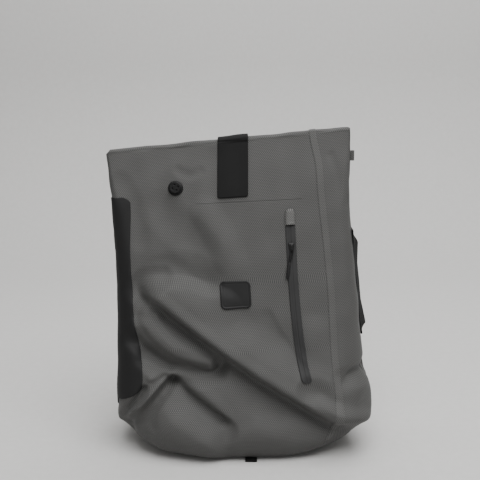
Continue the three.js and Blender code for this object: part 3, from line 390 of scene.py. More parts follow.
# %% Coated cloth
def coated_cloth(name, tone, line=None):
    finish = Finish(name, (tone, tone, tone * 0.975), 0.66, 0.28, sheen=0.04)
    u, v = finish.cloth_place()
    slanted = finish.math("MULTIPLY_ADD", v, 0.5, u)
    dots = finish.math("MULTIPLY", finish.wave(slanted, 2.4), finish.wave(v, 1.9))
    ribs = finish.wave(finish.math("MULTIPLY_ADD", v, 0.8, u), 2.5)
    yarns = finish.math("MULTIPLY_ADD", ribs, 0.55, finish.math("MULTIPLY", dots, 0.5))
    mottle = finish.noise(38.0, 4.0)
    colour = finish.mix(yarns, (tone * 0.42,) * 3, (tone * 2.1, tone * 2.08, tone * 2.0))
    shade = finish.span(mottle, 0.9, 1.1)
    if line is not None:
        low, rise, start, end = line
        off = finish.math("SUBTRACT", v, finish.math("MULTIPLY_ADD", u, rise, low))
        near = finish.remap(finish.math("ABSOLUTE", off), 0.5, 1.1, 1.0, 0.0)
        ends = [finish.math("GREATER_THAN", u, start), finish.math("LESS_THAN", u, end)]
        pressed = finish.math("MULTIPLY", near, finish.math("MULTIPLY", *ends))
        shade = finish.math("MULTIPLY", shade, finish.span(pressed, 1.0, 0.72))
        yarns = finish.math("SUBTRACT", yarns, finish.math("MULTIPLY", pressed, 1.6))
    toned = finish.add("ShaderNodeVectorMath", {0: colour, "Scale": shade}, operation="SCALE")
    finish.paint(toned, finish.span(mottle, 0.55, 0.72))
    finish.raise_by(yarns, 0.22, 0.7)
    return finish.material


BODY_TONE = 0.056
BODY_CLOTH = coated_cloth("coated_cloth", BODY_TONE)
TRIM_CLOTH = coated_cloth("coated_cloth_trim", 0.064)

# %% [markdown]
# The body is drawn again from the same sections and folds as the frame, but on a grid of about 2 mm, so
# that folds turn softly and creases stay crisp. Each panel is a real sheet: an outer face, an inner
# face 1.2 mm behind it, and an edge all round.

# %% A sheet from a grid of points
def grid_quads(rows, columns, start=0):
    index = np.arange(rows * columns).reshape(rows, columns) + start
    corners = (index[:-1, :-1], index[:-1, 1:], index[1:, 1:], index[1:, :-1])
    return np.stack(corners, -1).reshape(-1, 4)


def grid_normals(points):
    wide = np.gradient(points, axis=1)
    high = np.gradient(points, axis=0)
    normals = np.cross(wide, high)
    return normals / np.maximum(np.linalg.norm(normals, axis=-1, keepdims=True), 1e-9)


def link_mesh(name, points, faces, shift):
    """An object from points in millimetres."""
    mesh = bpy.data.meshes.new(name)
    mesh.from_pydata(((points + shift) * MM).tolist(), [], faces)
    piece = bpy.data.objects.new(name, mesh)
    bpy.context.scene.collection.objects.link(piece)
    return piece


def coat(piece, material):
    piece.data.polygons.foreach_set("use_smooth", [True] * len(piece.data.polygons))
    piece.data.materials.append(material)
    return piece


def join_frame(piece, stands_for):
    """Hides the frame's part that a piece stands for, and makes the piece ride on the body."""
    if stands_for:
        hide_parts(stands_for)
    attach(piece, "root")
    return piece


def new_piece(name, points, faces, material, slot, stands_for=None, uv=None):
    """A mesh from points in millimetres, placed in the frame."""
    piece = link_mesh(name, points, faces, SHIFT)
    if uv is not None:
        layer = piece.data.uv_layers.new(name="cloth")
        corners = np.empty(len(piece.data.loops), int)
        piece.data.loops.foreach_get("vertex_index", corners)
        layer.data.foreach_set("uv", uv[corners].astype(np.float32).ravel())
    return join_frame(coat(piece, material), stands_for)


def sheet_arrays(top, bottom):
    """The points and faces of a closed sheet between two grids."""
    rows, columns = top.shape[:2]
    layer = rows * columns
    upper = grid_quads(rows, columns)
    lower = grid_quads(rows, columns, layer)[:, ::-1]
    index = np.arange(layer).reshape(rows, columns)
    rim = np.concatenate([index[0, :-1], index[:-1, -1], index[-1, :0:-1], index[:0:-1, 0]])
    following = np.roll(rim, -1)
    edge = np.stack([rim, rim + layer, following + layer, following], -1)
    points = np.concatenate([top.reshape(-1, 3), bottom.reshape(-1, 3)])
    return points, np.concatenate([upper, lower, edge]).tolist()


def sheet_piece(name, top, bottom, uv, material, slot, stands_for):
    """A closed sheet with the same cloth places on both of its faces."""
    uv = np.concatenate([uv.reshape(-1, 2)] * 2)
    return new_piece(name, *sheet_arrays(top, bottom), material, slot, stands_for, uv)


def cloth_places(points):
    """How far each point lies along its row and its column, in millimetres."""
    steps = np.linalg.norm(np.diff(points, axis=1), axis=-1)
    u = np.concatenate([np.zeros((len(points), 1)), np.cumsum(steps, axis=1)], axis=1)
    middle = points[:, points.shape[1] // 2]
    v = np.concatenate([[0], np.cumsum(np.linalg.norm(np.diff(middle, axis=0), axis=-1))])
    return np.stack([u, np.broadcast_to(v[:, None], u.shape)], -1)


# %% [markdown]
# Stuffed cloth is never quite smooth between its big folds. A dozen slow ripples with a fixed seed,
# together a third of a millimetre high, keep the light from sliding over it as over plastic, and a
# second table adds the narrow creases where the cloth is pinched.

# %% Creases and ripples
CREASES = [
    ((-0.63, 0.512), (0.03, 0.31), (0.74, 0.14), 0.20, 0.50, 0.22),
    ((-0.66, 0.49), (0.02, 0.285), (0.72, 0.117), -0.22, 0.22, 0.50),
    ((0.25, 0.45), (0.35, 0.375), (0.48, 0.30), -0.12, 0.30, 0.60),
    ((-0.66, 0.455), (-0.53, 0.378), (-0.24, 0.313), 0.13, 0.25, 0.30),
    ((-0.69, 0.45), (-0.60, 0.40), (-0.50, 0.365), -0.10, 0.16, 0.16),
    ((-0.80, 0.43), (-0.60, 0.342), (-0.25, 0.298), 0.36, 0.42, 0.52),
    ((-0.76, 0.315), (-0.52, 0.265), (-0.19, 0.272), -0.55, 0.85, 0.45),
    ((-0.72, 0.262), (-0.545, 0.276), (-0.24, 0.283), 0.20, 0.25, 0.20),
    ((-0.55, 0.24), (-0.71, 0.165), (-0.89, 0.085), -0.34, 0.30, 0.36),
    ((-0.57, 0.266), (-0.74, 0.205), (-0.91, 0.12), 0.26, 0.15, 0.15),
    ((-0.76, 0.232), (-0.84, 0.18), (-0.91, 0.12), -0.26, 0.16, 0.16),
    ((-0.545, 0.24), (-0.35, 0.184), (-0.15, 0.13), -0.30, 0.36, 0.32),
    ((-0.53, 0.27), (-0.32, 0.225), (-0.12, 0.155), 0.18, 0.40, 0.18),
    ((-0.66, 0.19), (-0.70, 0.15), (-0.70, 0.11), -0.14, 0.30, 0.30),
    ((-0.15, 0.065), (-0.08, 0.10), (0.02, 0.135), -0.14, 0.40, 0.50),
    ((0.785, 0.247), (0.87, 0.27), (0.99, 0.262), -0.24, 0.16, 0.35),
    ((0.60, 0.198), (0.75, 0.16), (1.00, 0.09), 0.20, 0.35, 0.25),
    ((0.72, 0.125), (0.82, 0.112), (0.93, 0.092), -0.20, 0.20, 0.30),
    ((-0.42, 0.925), (-0.33, 0.905), (-0.24, 0.915), -0.08, 0.30, 0.30),
    ((0.84, 0.93), (0.90, 0.86), (0.94, 0.78), -0.10, 0.30, 0.24),
    ((-0.10, 0.425), (0.15, 0.395), (0.36, 0.335), 0.14, 1.20, 0.80),
    ((-0.90, 0.90), (-0.80, 0.80), (-0.78, 0.70), -0.12, 0.60, 0.60),
    ((-0.74, 0.47), (-0.80, 0.56), (-0.60, 0.585), -0.26, 0.50, 0.60),
]
dice = np.random.default_rng(11)
WAVES = [
    (dice.uniform(0, math.pi), 2 * math.pi / dice.uniform(22, 85),
     dice.uniform(0, 6.28), dice.uniform(0.08, 0.2)) for _ in range(12)
]


def ripples(at, level):
    """Slow ripples of the cloth, fading out at the back seams."""
    wrapped = np.where(at > 4, at - RING, at)
    x, z = wrapped * BAG_WIDTH / 2, np.minimum(level, 1.2) * BAG_HEIGHT
    height = sum(size * np.sin((x * math.cos(way) + z * math.sin(way)) * pitch + start)
                 for way, pitch, start, size in WAVES)
    calm = np.clip(np.minimum(np.abs(at - 2), np.abs(at - 4)) * 6, 0, 1) * np.clip(level * 14, 0, 1)
    return height * calm


ALL_FOLDS = FOLDS + CREASES


def cloth_point(place, level):
    return body_point(place, level, ALL_FOLDS, ripples)


SEAM_LINE = np.array([[0.00, 0.74], [0.25, 0.735], [0.64, 0.76], [0.89, 0.73], [1.00, 0.68]])


def read_line(line, up):
    return read_rows(line, np.asarray(up, float))[..., 1]


def seam_place(level):
    level = np.asarray(level, float)
    return front_place(read_line(SEAM_LINE, np.minimum(level, 1)), level)


BASE_END = BASE_ROUND / BAG_HEIGHT
ROWS = np.concatenate([
    np.linspace(0, BASE_END, 15)[:-1], np.linspace(BASE_END, 1, 188)[:-1],
    np.linspace(1, 2, 15)[:-1], np.linspace(2, 3, 20),
])

# %% [markdown]
# Four panels go round the bag: the front, the right side with its corner, the back and the left side.
# The front and right side meet in the welded seam that the photograph shows.

# %% The four panels
def make_panel(name, node, from_place, to_place, columns, material):
    share = np.linspace(0, 1, columns)
    start, end = (np.broadcast_to(edge, ROWS.shape)[:, None] for edge in (from_place, to_place))
    places = start + (end - start) * share
    points = cloth_point(places, ROWS[:, None])
    uv = cloth_places(points)
    if material is None:
        material = coated_cloth("coated_cloth_front", BODY_TONE, weld_line(places, uv))
    inner = points - grid_normals(points) * FABRIC_WALL
    return sheet_piece(name, points, inner, uv, material, "fabric_body", node)


def weld_line(places, uv):
    """Where the pressed line under the closure runs in the front cloth's own millimetres."""
    ends = []
    for across, level in ((-0.29, 0.811), (0.60, 0.806)):
        row = np.abs(ROWS - level).argmin()
        column = np.abs(places[row] - front_place(across, level)).argmin()
        ends.append(uv[row, column])
    start, end = ends
    rise = (end[1] - start[1]) / (end[0] - start[0])
    return float(start[1] - rise * start[0]), float(rise), float(start[0]), float(end[0])


seam = seam_place(ROWS)
panels = [
    make_panel("front_cloth", "front_panel", -1.0, seam, 176, None),
    make_panel("right_side_cloth", "right_gusset", seam, 2.0, 84, BODY_CLOTH),
    make_panel("back_cloth", "back_panel", 2.0, 4.0, 110, BODY_CLOTH),
    make_panel("left_side_cloth", "left_gusset", 4.0, 5.0, 40, BODY_CLOTH),
]
for panel in panels:
    print(panel.name, len(panel.data.polygons), "faces")


# %% [markdown]
# Rubber and moulded parts are laid on the cloth: they follow it, but their edges are rounded and they
# stand a little proud. One helper makes them all. It takes a grid of places on the body and lifts it by
# a height that falls off round along the edges.

# %% Pieces laid on the cloth
def round_edge(shares, length, edge):
    """Height from 0 to 1 along a strip, rising as a quarter circle over the edge at both ends."""
    return round_over(np.minimum(shares, 1 - shares) * length / edge)


def ease(count):
    """Steps from 0 to 1 that start close together."""
    return 1 - np.cos(np.linspace(0, math.pi / 2, count))


def crowd(count, edge_share, edge_count):
    """Shares from 0 to 1 that stand closer together at both ends."""
    bend = edge_share * ease(edge_count)
    middle = np.linspace(edge_share, 1 - edge_share, count)[1:-1]
    return np.concatenate([bend, middle, 1 - bend[::-1]])


def lay_on(name, points, height, thickness, gap, material, slot, stands_for):
    """A closed piece over a grid of the cloth's own points: height is its share of thickness."""
    normals = grid_normals(points)
    top = points + normals * (gap + thickness * (0.25 + 0.75 * height))[..., None]
    return sheet_piece(name, top, points + normals * gap, cloth_places(points), material, slot, stands_for)


# %% [markdown]
# Matt black rubber: the closure strap, the side patch, the label and the valve are moulded or cut from
# it, and buckles and thread are a smoother kin. It is a very dark grey rather than black, and a fine
# grain breaks its shine. Handling leaves paler, smoother spots, so roughness and colour follow a slow
# noise.

# %% Rubber and moulded plastic
def grained(name, tone, roughness, specular, slow, fine, bump, spread, pale, blue=1.0):
    """A dark finish: one slow noise for colour and gloss, and a fine one for its grain."""
    finish = Finish(name, (tone, tone, tone * blue), roughness, specular)
    worn = finish.noise(*slow)
    colour = finish.mix(worn, (tone * 0.8,) * 3, tuple(tone * part for part in pale))
    finish.paint(colour, finish.span(worn, roughness - spread, roughness + spread))
    finish.raise_by(finish.noise(*fine), *bump)
    return finish.material


def rubber(name, tone, roughness, grain=260.0, depth=0.05):
    fine, bump = (grain, 2.0), (depth, 0.8)
    return grained(name, tone, roughness, 0.18, (22.0, 4.0), fine, bump, 0.07, (1.3, 1.3, 1.32))


def moulded(name, tone, roughness):
    pale = (1.35,) * 3
    return grained(name, tone, roughness, 0.3, (60.0, 3.0), (900.0, 1.0), (0.02, 0.6), 0.08, pale, 1.03)


PATCH_RUBBER = rubber("patch_rubber", 0.013, 0.62, depth=0.08)
STRAP_RUBBER = rubber("strap_rubber", 0.005, 0.70, depth=0.06)
LABEL_RUBBER = rubber("label_rubber", 0.013, 0.55)
VALVE_RUBBER = rubber("valve_rubber", 0.007, 0.42, depth=0.03)
HARD_PLASTIC = moulded("hard_plastic", 0.007, 0.36)
THREAD = moulded("black_thread", 0.03, 0.7)

# %% [markdown]
# The lap of the welded seam runs beside the seam line, from the base over the fold. It is a strip of the
# same cloth, one layer thick.

# %% Seam lap
LAY_GAP, FOLD_GAP = 0.25, 0.35
LAP_WIDTH, LAP_THICKNESS = 9.0, 0.9


def seam_lap():
    rows = ROWS[14:]
    share = crowd(9, 0.08, 4)
    beside = (share - 0.25) * LAP_WIDTH / read_level(rows)["half"][:, None]
    across = read_line(SEAM_LINE, np.minimum(rows, 1))[:, None] + beside
    points = cloth_point(front_place(across, rows[:, None]), rows[:, None])
    height = np.broadcast_to(round_edge(share, LAP_WIDTH, 2.2), across.shape)
    return lay_on("seam_lap", points, height, LAP_THICKNESS, 0.06, TRIM_CLOTH, "fabric_trim", "seam_band")


seam_lap()

# %% [markdown]
# The side patch guards the left edge against rubbing. Its front edge is a long shallow curve with a
# rounded top corner and a cut lower corner; behind the edge it wraps round the corner to the side.

# %% Side patch
PATCH_EDGE = np.array([
    [0.175, -0.88], [0.21, -0.81], [0.26, -0.78], [0.37, -0.82],
    [0.47, -0.855], [0.66, -0.86], [0.825, -0.84], [0.845, -0.86],
])
PATCH_LOW, PATCH_HIGH, PATCH_THICKNESS, PATCH_START = 0.158, 0.847, 1.1, 4.5 - RING


def side_patch():
    rows = PATCH_LOW + (PATCH_HIGH - PATCH_LOW) * crowd(124, 0.012, 6)
    top = np.clip((rows - 0.829) / 0.018, 0, 1)
    low = np.clip((0.228 - rows) / 0.045, 0, 1)
    edge = read_line(PATCH_EDGE, rows) - 0.055 * (1 - arc(top)) - 0.11 * low ** 1.6
    share = crowd(34, 0.02, 5)
    places = PATCH_START + (front_place(edge, rows)[:, None] - PATCH_START) * share
    drop = (0.03 * low[:, None] ** 2) * np.minimum((1 - share) * 2.2, 1)
    points = cloth_point(np.where(places < -1, places + RING, places), rows[:, None] - drop)
    up = (rows[:, None] - rows[0]) / np.ptp(rows)
    height = np.minimum(round_edge(share, 90.0, 1.2)[None, :], round_edge(up, 250.0, 1.2))
    place = (PATCH_RUBBER, "black_rubber", "side_patch")
    return lay_on("edge_patch", points, height, PATCH_THICKNESS, FOLD_GAP, *place)


side_patch()

# %% [markdown]
# The closure strap is sewn behind the fold, comes up over it and lies on the front. Over the fold it
# stands off a few millimetres, because a thick strap does not take a sharp bend.

# %% Closure strap
CLOSURE_WIDTH, CLOSURE_LENGTH, CLOSURE_OFFSET = 40.0, 70.0, 7.0
CLOSURE_CORNER, CLOSURE_THICKNESS = 3.2, 1.8
TOP_MIDDLE = middle_at(1.0)


def closure_strap():
    low = 1 - CLOSURE_LENGTH / BAG_HEIGHT
    corner = CLOSURE_CORNER / BAG_HEIGHT
    end = low + corner * ease(6)
    front_rows, fold_rows = np.linspace(end[-1], 1, 34)[1:-1], np.linspace(1, 2, 22)[:-1]
    rows = np.concatenate([end, front_rows, fold_rows, np.linspace(2, 3, 16)])
    share = crowd(16, 0.035, 5)
    size = read_level(np.minimum(rows, 1))
    drawn = CLOSURE_CORNER * (1 - arc(np.clip((end[-1] - rows) / corner, 0, 1)))
    x = TOP_MIDDLE + CLOSURE_OFFSET + (CLOSURE_WIDTH / 2 - drawn)[:, None] * (2 * share - 1)
    points = cloth_point((x - size["middle"][:, None]) / size["half"][:, None], rows[:, None])
    sewn = cloth_point(3 - (x[-1] - TOP_MIDDLE) / size["half"][-1], np.array([[0.885], [0.862]]))
    points = np.concatenate([points, sewn])
    arch = np.concatenate([np.sin(np.clip((rows - 0.975) / 1.05, 0, 1) * math.pi), [0, 0]])
    points = points + grid_normals(points) * (1.2 * arch)[:, None, None]
    along = np.concatenate([np.minimum((rows - low) * BAG_HEIGHT, 9), [5, 0.2]])
    height = np.minimum(round_edge(share, CLOSURE_WIDTH, 0.9)[None, :], round_over(along / 0.9)[:, None])
    place = (STRAP_RUBBER, "black_strap", "closure_strap")
    return lay_on("fold_strap", points, height, CLOSURE_THICKNESS, LAY_GAP, *place)


closure_strap()

# %% [markdown]
# The label is a moulded patch with rounded corners and a raised rim. Its field is left bare.

# %% Label
def rounded_half(v, width, height, corner):
    """Half the width of a rounded rectangle at each height v from its middle."""
    over = np.clip(np.abs(v) - (height / 2 - corner), 0, corner)
    return width / 2 - corner + np.sqrt(np.maximum(corner ** 2 - over ** 2, 0))


LABEL_PLACE, LABEL_SIZE, LABEL_CORNER, LABEL_THICKNESS = (-0.008, 0.52), (39.0, 33.0), 6.0, 2.2


def label_patch():
    (across, up), (width, height) = LABEL_PLACE, LABEL_SIZE
    v = height * (crowd(30, 0.13, 12) - 0.5)
    half = rounded_half(v, width, height, LABEL_CORNER)[:, None]
    u = half * (2 * crowd(36, 0.1, 10) - 1)
    level = up + v / BAG_HEIGHT
    points = cloth_point(across + u / read_level(level)["half"][:, None], level[:, None])
    inward = np.minimum(half - np.abs(u), (height / 2 - np.abs(v))[:, None])
    beyond_u = np.clip(np.abs(u) - (width / 2 - LABEL_CORNER), 0, None)
    beyond_v = np.clip(np.abs(v) - (height / 2 - LABEL_CORNER), 0, None)[:, None]
    corner = LABEL_CORNER - np.hypot(beyond_u, beyond_v)
    inward = np.where(corner < LABEL_CORNER, np.minimum(inward, corner), inward)
    field = np.clip((inward - 1.7) / 0.5, 0, 1)
    frame_line = np.exp(-((inward - 4.6) / 0.35) ** 2)
    relief = round_over(inward / 0.9) * (1 - 0.32 * field + 0.12 * frame_line)
    place = (LABEL_RUBBER, "label_rubber", "label_patch")
    return lay_on("bare_label", points, relief, LABEL_THICKNESS, LAY_GAP, *place)


label_patch()

# %% [markdown]
# The zip is a coated one: a smooth black band whose two lips meet in a fine groove. It bends away to
# the right at its foot. A hood of the bag's cloth covers its top, and below that sit slider and pull.

# %% Zip band and hood
ZIP_LINE = np.array([[0.245, 0.515], [0.32, 0.49], [0.46, 0.47], [0.57, 0.47], [0.66, 0.48], [0.77, 0.49]])
ZIP_LOW, ZIP_HIGH, ZIP_THICKNESS = 0.2535, 0.728, 1.5
HOOD_LOW, HOOD_LENGTH, HOOD_THICKNESS = 0.7275, 20.0, 4.8
ZIP_RUBBER = rubber("zip_coating", 0.027, 0.6, grain=420.0, depth=0.03)
HOOD_CLOTH = coated_cloth("coated_cloth_hood", 0.082)


def zip_point(level, wide):
    """A spot beside the zip's middle line, wide in millimetres."""
    across = read_line(ZIP_LINE, level) + wide / read_level(level)["half"]
    return cloth_point(front_place(across, level), level)


def zip_band():
    up = np.concatenate([0.02 * ease(8), np.linspace(0.02, 1, 110)[1:]])
    rows = ZIP_LOW + (ZIP_HIGH - ZIP_LOW) * up
    over = np.clip((rows[7] - rows) / (rows[7] - rows[0]), 0, 1)
    half = (1.4 + 5.0 * arc(over))[:, None]
    u = half * (2 * crowd(25, 0.06, 4) - 1)
    groove = np.exp(-(u / 0.34) ** 2)
    lips = 0.16 * np.exp(-((np.abs(u) - 1.5) / 0.9) ** 2)
    height = round_over((half - np.abs(u)) / 0.8) * (0.85 + lips - 0.35 * groove)
    points = zip_point(rows[:, None], u)
    return lay_on("zip_band", points, height, ZIP_THICKNESS, FOLD_GAP, ZIP_RUBBER, "zip_tape", "zip_tape")


def zip_hood():
    v = crowd(40, 0.08, 8)
    rows = HOOD_LOW + v * HOOD_LENGTH / BAG_HEIGHT
    half = 6.4 - 2.4 * np.clip((v - 0.5) / 0.5, 0, 1) ** 2
    half = half - 2.4 * (1 - arc(np.clip((v - 0.82) / 0.18, 0, 1)))
    side = 2 * crowd(16, 0.08, 5) - 1
    points = zip_point(rows[:, None], half[:, None] * side)
    dome = arc(np.abs(side), 2.6)[None, :] * arc(np.clip((v - 0.75) / 0.25, 0, 1))[:, None]
    ribs = 0.1 * np.exp(-((v - 0.06) / 0.05) ** 2)[:, None]
    height = np.clip(dome * (0.9 + ribs), 0, 1.2)
    place = (HOOD_CLOTH, "fabric_trim", "zip_garage")
    return lay_on("zip_hood", points, height, HOOD_THICKNESS, LAY_GAP, *place)


band, hood = zip_band(), zip_hood()
print("zip band", len(band.data.polygons), "faces, hood", len(hood.data.polygons))

# %% [markdown]
# Slider and pull are the parts a hand looks for. The slider is a low wedge with a raised bridge. The pull
# is a thin loop of cord that ends in a short moulded tab. Both are swept along the zip's line.

# %% Swept parts
def ring_faces(rings, sides):
    """Quads between neighbouring rings of points, and a lid at both ends."""
    last = (rings - 1) * sides
    faces = []
    for corner in range(last):
        beside = corner - corner % sides + (corner + 1) % sides
        faces.append([corner, beside, beside + sides, corner + sides])
    return faces + [list(range(sides))[::-1], list(range(last, last + sides))]


def sweep(stations, sides, squareness=2.0):
    """Rings round a row of stations (point, along, across, width, height), closed at both ends."""
    turns = np.linspace(0, 2 * math.pi, sides, endpoint=False)
    wide, high = (np.sign(way) * np.abs(way) ** (2 / squareness) for way in (np.cos(turns), np.sin(turns)))
    rings = []
    for point, along, across, width, height in stations:
        along, across = unit(along), unit(across)
        out = np.cross(across, along)
        rings.append(point + np.outer(wide * width / 2, across) + np.outer(high * height / 2, out))
    return np.concatenate(rings), ring_faces(len(rings), sides)


def join_parts(parts):
    """One list of points and faces from several."""
    points, faces = [], []
    for part_points, part_faces in parts:
        start = sum(len(some) for some in points)
        points.append(np.asarray(part_points))
        faces += [[start + corner for corner in face] for face in part_faces]
    return np.concatenate(points), faces


def soften(path, rounds):
    for _ in range(rounds):
        path[1:-1] = (path[:-2] + 2 * path[1:-1] + path[2:]) / 4
    return path


def smooth_path(knots, count, rounds, lengths=None):
    """A soft line through a few knots, its ends kept."""
    knots = np.asarray(knots, float)
    if lengths is None:
        lengths = np.concatenate([[0], np.cumsum(np.linalg.norm(np.diff(knots, axis=0), axis=1))])
    at = np.linspace(0, lengths[-1], count)
    return soften(np.stack([np.interp(at, lengths, column) for column in knots.T], -1), rounds)


def run_along(path, width, height, sides, squareness=2.0):
    """A cord or a tape along a path."""
    ways = unit(np.gradient(path, axis=0))
    spans = np.cross(ways, BEHIND)
    stations = [(point, way, span, width, height) for point, way, span in zip(path, ways, spans)]
    return sweep(stations, sides, squareness)


# %% Slider and pull
SLIDER_LEVEL = 0.66
# Columns: millimetres along the zip from the slider's middle, width and height.
SLIDER_BODY = (
    (-5.6, 3.2, 1.2), (-5.0, 4.6, 2.2), (-2.0, 6.0, 2.7),
    (2.0, 7.4, 2.9), (4.8, 7.8, 2.6), (5.6, 6.4, 1.4),
)
# Columns: along the zip, lift and how steeply the bridge rises there.
SLIDER_BRIDGE = (
    (-4.6, 0.8, 1.4), (-3.6, 2.0, 0.6), (-1.0, 2.6, 0.1),
    (2.0, 2.5, -0.1), (4.0, 1.9, -0.7), (4.8, 0.7, -1.5),
)
# Columns: down from the slider's middle, to the side and out.
PULL_CORD = (
    (2.0, 0.0, 5.4), (4.5, 1.3, 5.0), (9.0, 0.9, 4.2), (15.0, -1.2, 3.9), (20.0, -3.2, 3.7),
    (21.5, -4.0, 3.7), (20.0, -4.6, 3.7), (15.0, -3.6, 3.9), (9.0, -2.4, 4.2), (4.5, -1.5, 5.0),
    (2.0, 0.0, 5.4),
)
# Columns: down from the slider's middle, width and height.
PULL_TAB = (
    (19.0, 1.8, 1.4), (20.0, 3.4, 2.2), (22.0, 4.0, 2.6), (30.0, 4.3, 2.5), (36.0, 4.0, 2.1),
    (38.0, 3.0, 1.6), (38.8, 1.4, 0.8),
)
PULL_SLANT = 0.19


def zip_frame(level):
    """A point on the zip's middle, with its ways along, across and out."""
    here = zip_point(level, 0.0)
    along, across = unit(zip_point(level + 0.004, 0.0) - here), unit(zip_point(level, 1.5) - here)
    return here, along, across, unit(np.cross(across, along))


def slider_parts():
    here, along, across, out = zip_frame(SLIDER_LEVEL)
    body = [(here + along * t + out * 3.1, along, across, w, h) for t, w, h in SLIDER_BODY]
    bridge = [(here + along * t + out * (3.4 + lift), along + out * tip, across, 2.2, 1.1)
              for t, lift, tip in SLIDER_BRIDGE]
    return [sweep(body, 20, 3.2), sweep(bridge, 12, 3.0)]


def pull_parts():
    knots, tab = [], []
    for down, side, lift in PULL_CORD:
        here, _, across, out = zip_frame(SLIDER_LEVEL - down / BAG_HEIGHT)
        knots.append(here + across * side + out * lift)
    for down, width, height in PULL_TAB:
        here, along, across, out = zip_frame(SLIDER_LEVEL - down / BAG_HEIGHT)
        point = here + out * 3.5 - across * (3.7 + (down - 19) * PULL_SLANT)
        tab.append((point, -along - across * PULL_SLANT, across, width, height))
    cord = smooth_path(knots, 60, 3, np.arange(len(knots)))
    return [run_along(cord, 1.5, 1.5, 10), sweep(tab, 16, 2.8)]


PULL_RUBBER = rubber("pull_rubber", 0.009, 0.5, grain=500.0)
slider = new_piece("slider", *join_parts(slider_parts()), HARD_PLASTIC, "black_plastic", "zip_slider")
pull = new_piece("pull", *join_parts(pull_parts()), PULL_RUBBER, "pull_cord", "zip_pull")
print("slider and pull", len(slider.data.polygons), len(pull.data.polygons), "faces")

# %% [markdown]
# The air valve is turned: a thin flange on the cloth and a knurled cap with four short slots that let
# the air out. Its face is a height over circles, so the slots need no cutting tool.

# %% Valve
def turned(radii, heights, sides, detail=None):
    """A turned part: rings of given radius and height, with an optional height change by place."""
    turns = np.linspace(0, 2 * math.pi, sides, endpoint=False)
    radius = np.array(radii, float)[:, None]
    x, y = radius * np.cos(turns), radius * np.sin(turns)
    z = np.broadcast_to(np.array(heights, float)[:, None], x.shape)
    if detail is not None:
        x, y, z = detail(x, y, z)
    return np.stack([x, y, z], -1).reshape(-1, 3), ring_faces(len(radius), sides)


def seat(points, place, level, gap):
    """Points given as across, up and out, set on the cloth at a place."""
    levels = (np.array([-0.02, 0, 0.02]) + level)[:, None]
    normal = grid_normals(cloth_point(np.array([-0.05, 0, 0.05]) + place, levels))[1, 1]
    across = unit(np.cross([0, 0, 1.0], normal))
    across *= np.sign(across[0])
    ways = np.stack([across, np.cross(normal, across), normal])
    return cloth_point(place, level) + normal * gap + points @ ways


def slotted(x, y, z):
    """Knurls on the cap's edge and four short slots in its face."""
    radius, turn = np.hypot(x, y), np.arctan2(y, x)
    knurl = 1 + 0.018 * np.cos(turn * 18) * np.clip((radius - 6.6) * 3, 0, 1) * (z < 4.6)
    x, y = x * knurl, y * knurl
    sink = np.zeros_like(z)
    for way in np.radians((15, 105, 200, 300)):
        along = x * math.cos(way) + y * math.sin(way)
        beside = -x * math.sin(way) + y * math.cos(way)
        inside = 1 - np.clip(np.hypot((along - 3.9) / 0.9, beside / 1.5), 0, 1) ** 4
        sink = np.maximum(sink, inside)
    face = (z > 4.0) & (radius < 6.4)
    return x, y, z - 1.5 * sink * face


VALVE_ACROSS, VALVE_LEVEL, VALVE_GAP = -0.45, 0.866, 0.3
# Each profile is a row of radii and a row of heights.
FLANGE = ((9.9, 9.9, 9.6, 8.6, 7.0, 0.4), (0.0, 0.7, 1.1, 1.35, 1.4, 1.4))
CAP = ([7.6, 7.6, 7.6, 7.3, 6.7, *np.linspace(6.3, 0.3, 24)], [1.2, 3.4, 4.3, 4.9, 5.1] + [5.0] * 24)


def valve_part(name, profile, sides, stands_for, detail=None):
    place = float(front_place(VALVE_ACROSS, VALVE_LEVEL))
    points, faces = turned(*profile, sides, detail)
    points = seat(points, place, VALVE_LEVEL, VALVE_GAP)
    return new_piece(name, points, faces, VALVE_RUBBER, "valve_rubber", stands_for)


valve = [
    valve_part("valve_ring", FLANGE, 64, "valve_flange"),
    valve_part("valve_head", CAP, 96, "valve_cap", slotted),
]
print("valve", sum(len(piece.data.polygons) for piece in valve), "faces")

# %% [markdown]
# All straps are woven webbing: warp ribs run along the strap and the weft shows as fine steps between
# them. One recipe serves the handles and the strap ends, with the ribs taken from the strap's own
# coordinates.

# %% Webbing
def woven_strap(name, tone, rib=1.9, step=1.3):
    finish = Finish(name, (tone, tone, tone * 1.03), 0.85, 0.12, sheen=0.02)
    u, v = finish.cloth_place()
    half_step = finish.math("MULTIPLY", finish.math("FLOOR", finish.math("DIVIDE", u, rib)), step / 2)
    ribs, weft = finish.wave(u, rib), finish.wave(finish.math("ADD", v, half_step), step)
    height = finish.math("MULTIPLY_ADD", ribs, 0.6, finish.math("MULTIPLY", weft, 0.4))
    fuzz = finish.noise(300.0, 3.0)
    shade = finish.math("MULTIPLY", height, finish.span(fuzz, 0.75, 1.1))
    colour = finish.mix(shade, (tone * 0.45,) * 3, (tone * 1.9, tone * 1.9, tone * 1.95))
    finish.paint(colour, finish.span(fuzz, 0.75, 0.9))
    finish.raise_by(height, 0.3, 0.9)
    return finish.material


# The webbing is black, and its tone is set darker still as painted shade for the side handle, which stands
# edge-on in shadow; every strap that uses it shares that darkened tone.
WEBBING_WITH_PAINTED_SHADE = woven_strap("black_webbing_painted_shade", 0.005)


def webbing_strip(name, path, across, width, thickness, stands_for, material=WEBBING_WITH_PAINTED_SHADE, slot="webbing"):
    """A flat strap along a path: a sheet with rounded edges, and its own cloth coordinates."""
    across = np.broadcast_to(np.asarray(across, float), path.shape)
    out = unit(np.cross(unit(np.gradient(path, axis=0)), across))
    share = 2 * crowd(18, 0.05, 4) - 1
    edge = round_over((1 - np.abs(share)) * width / thickness)
    flat = path[:, None] + (share * width / 2)[:, None] * across[:, None]
    lift = (edge * 0.85 + 0.15)[:, None] * out[:, None] * thickness / 2
    return sheet_piece(name, flat - lift, flat + lift, cloth_places(flat), material, slot, stands_for)


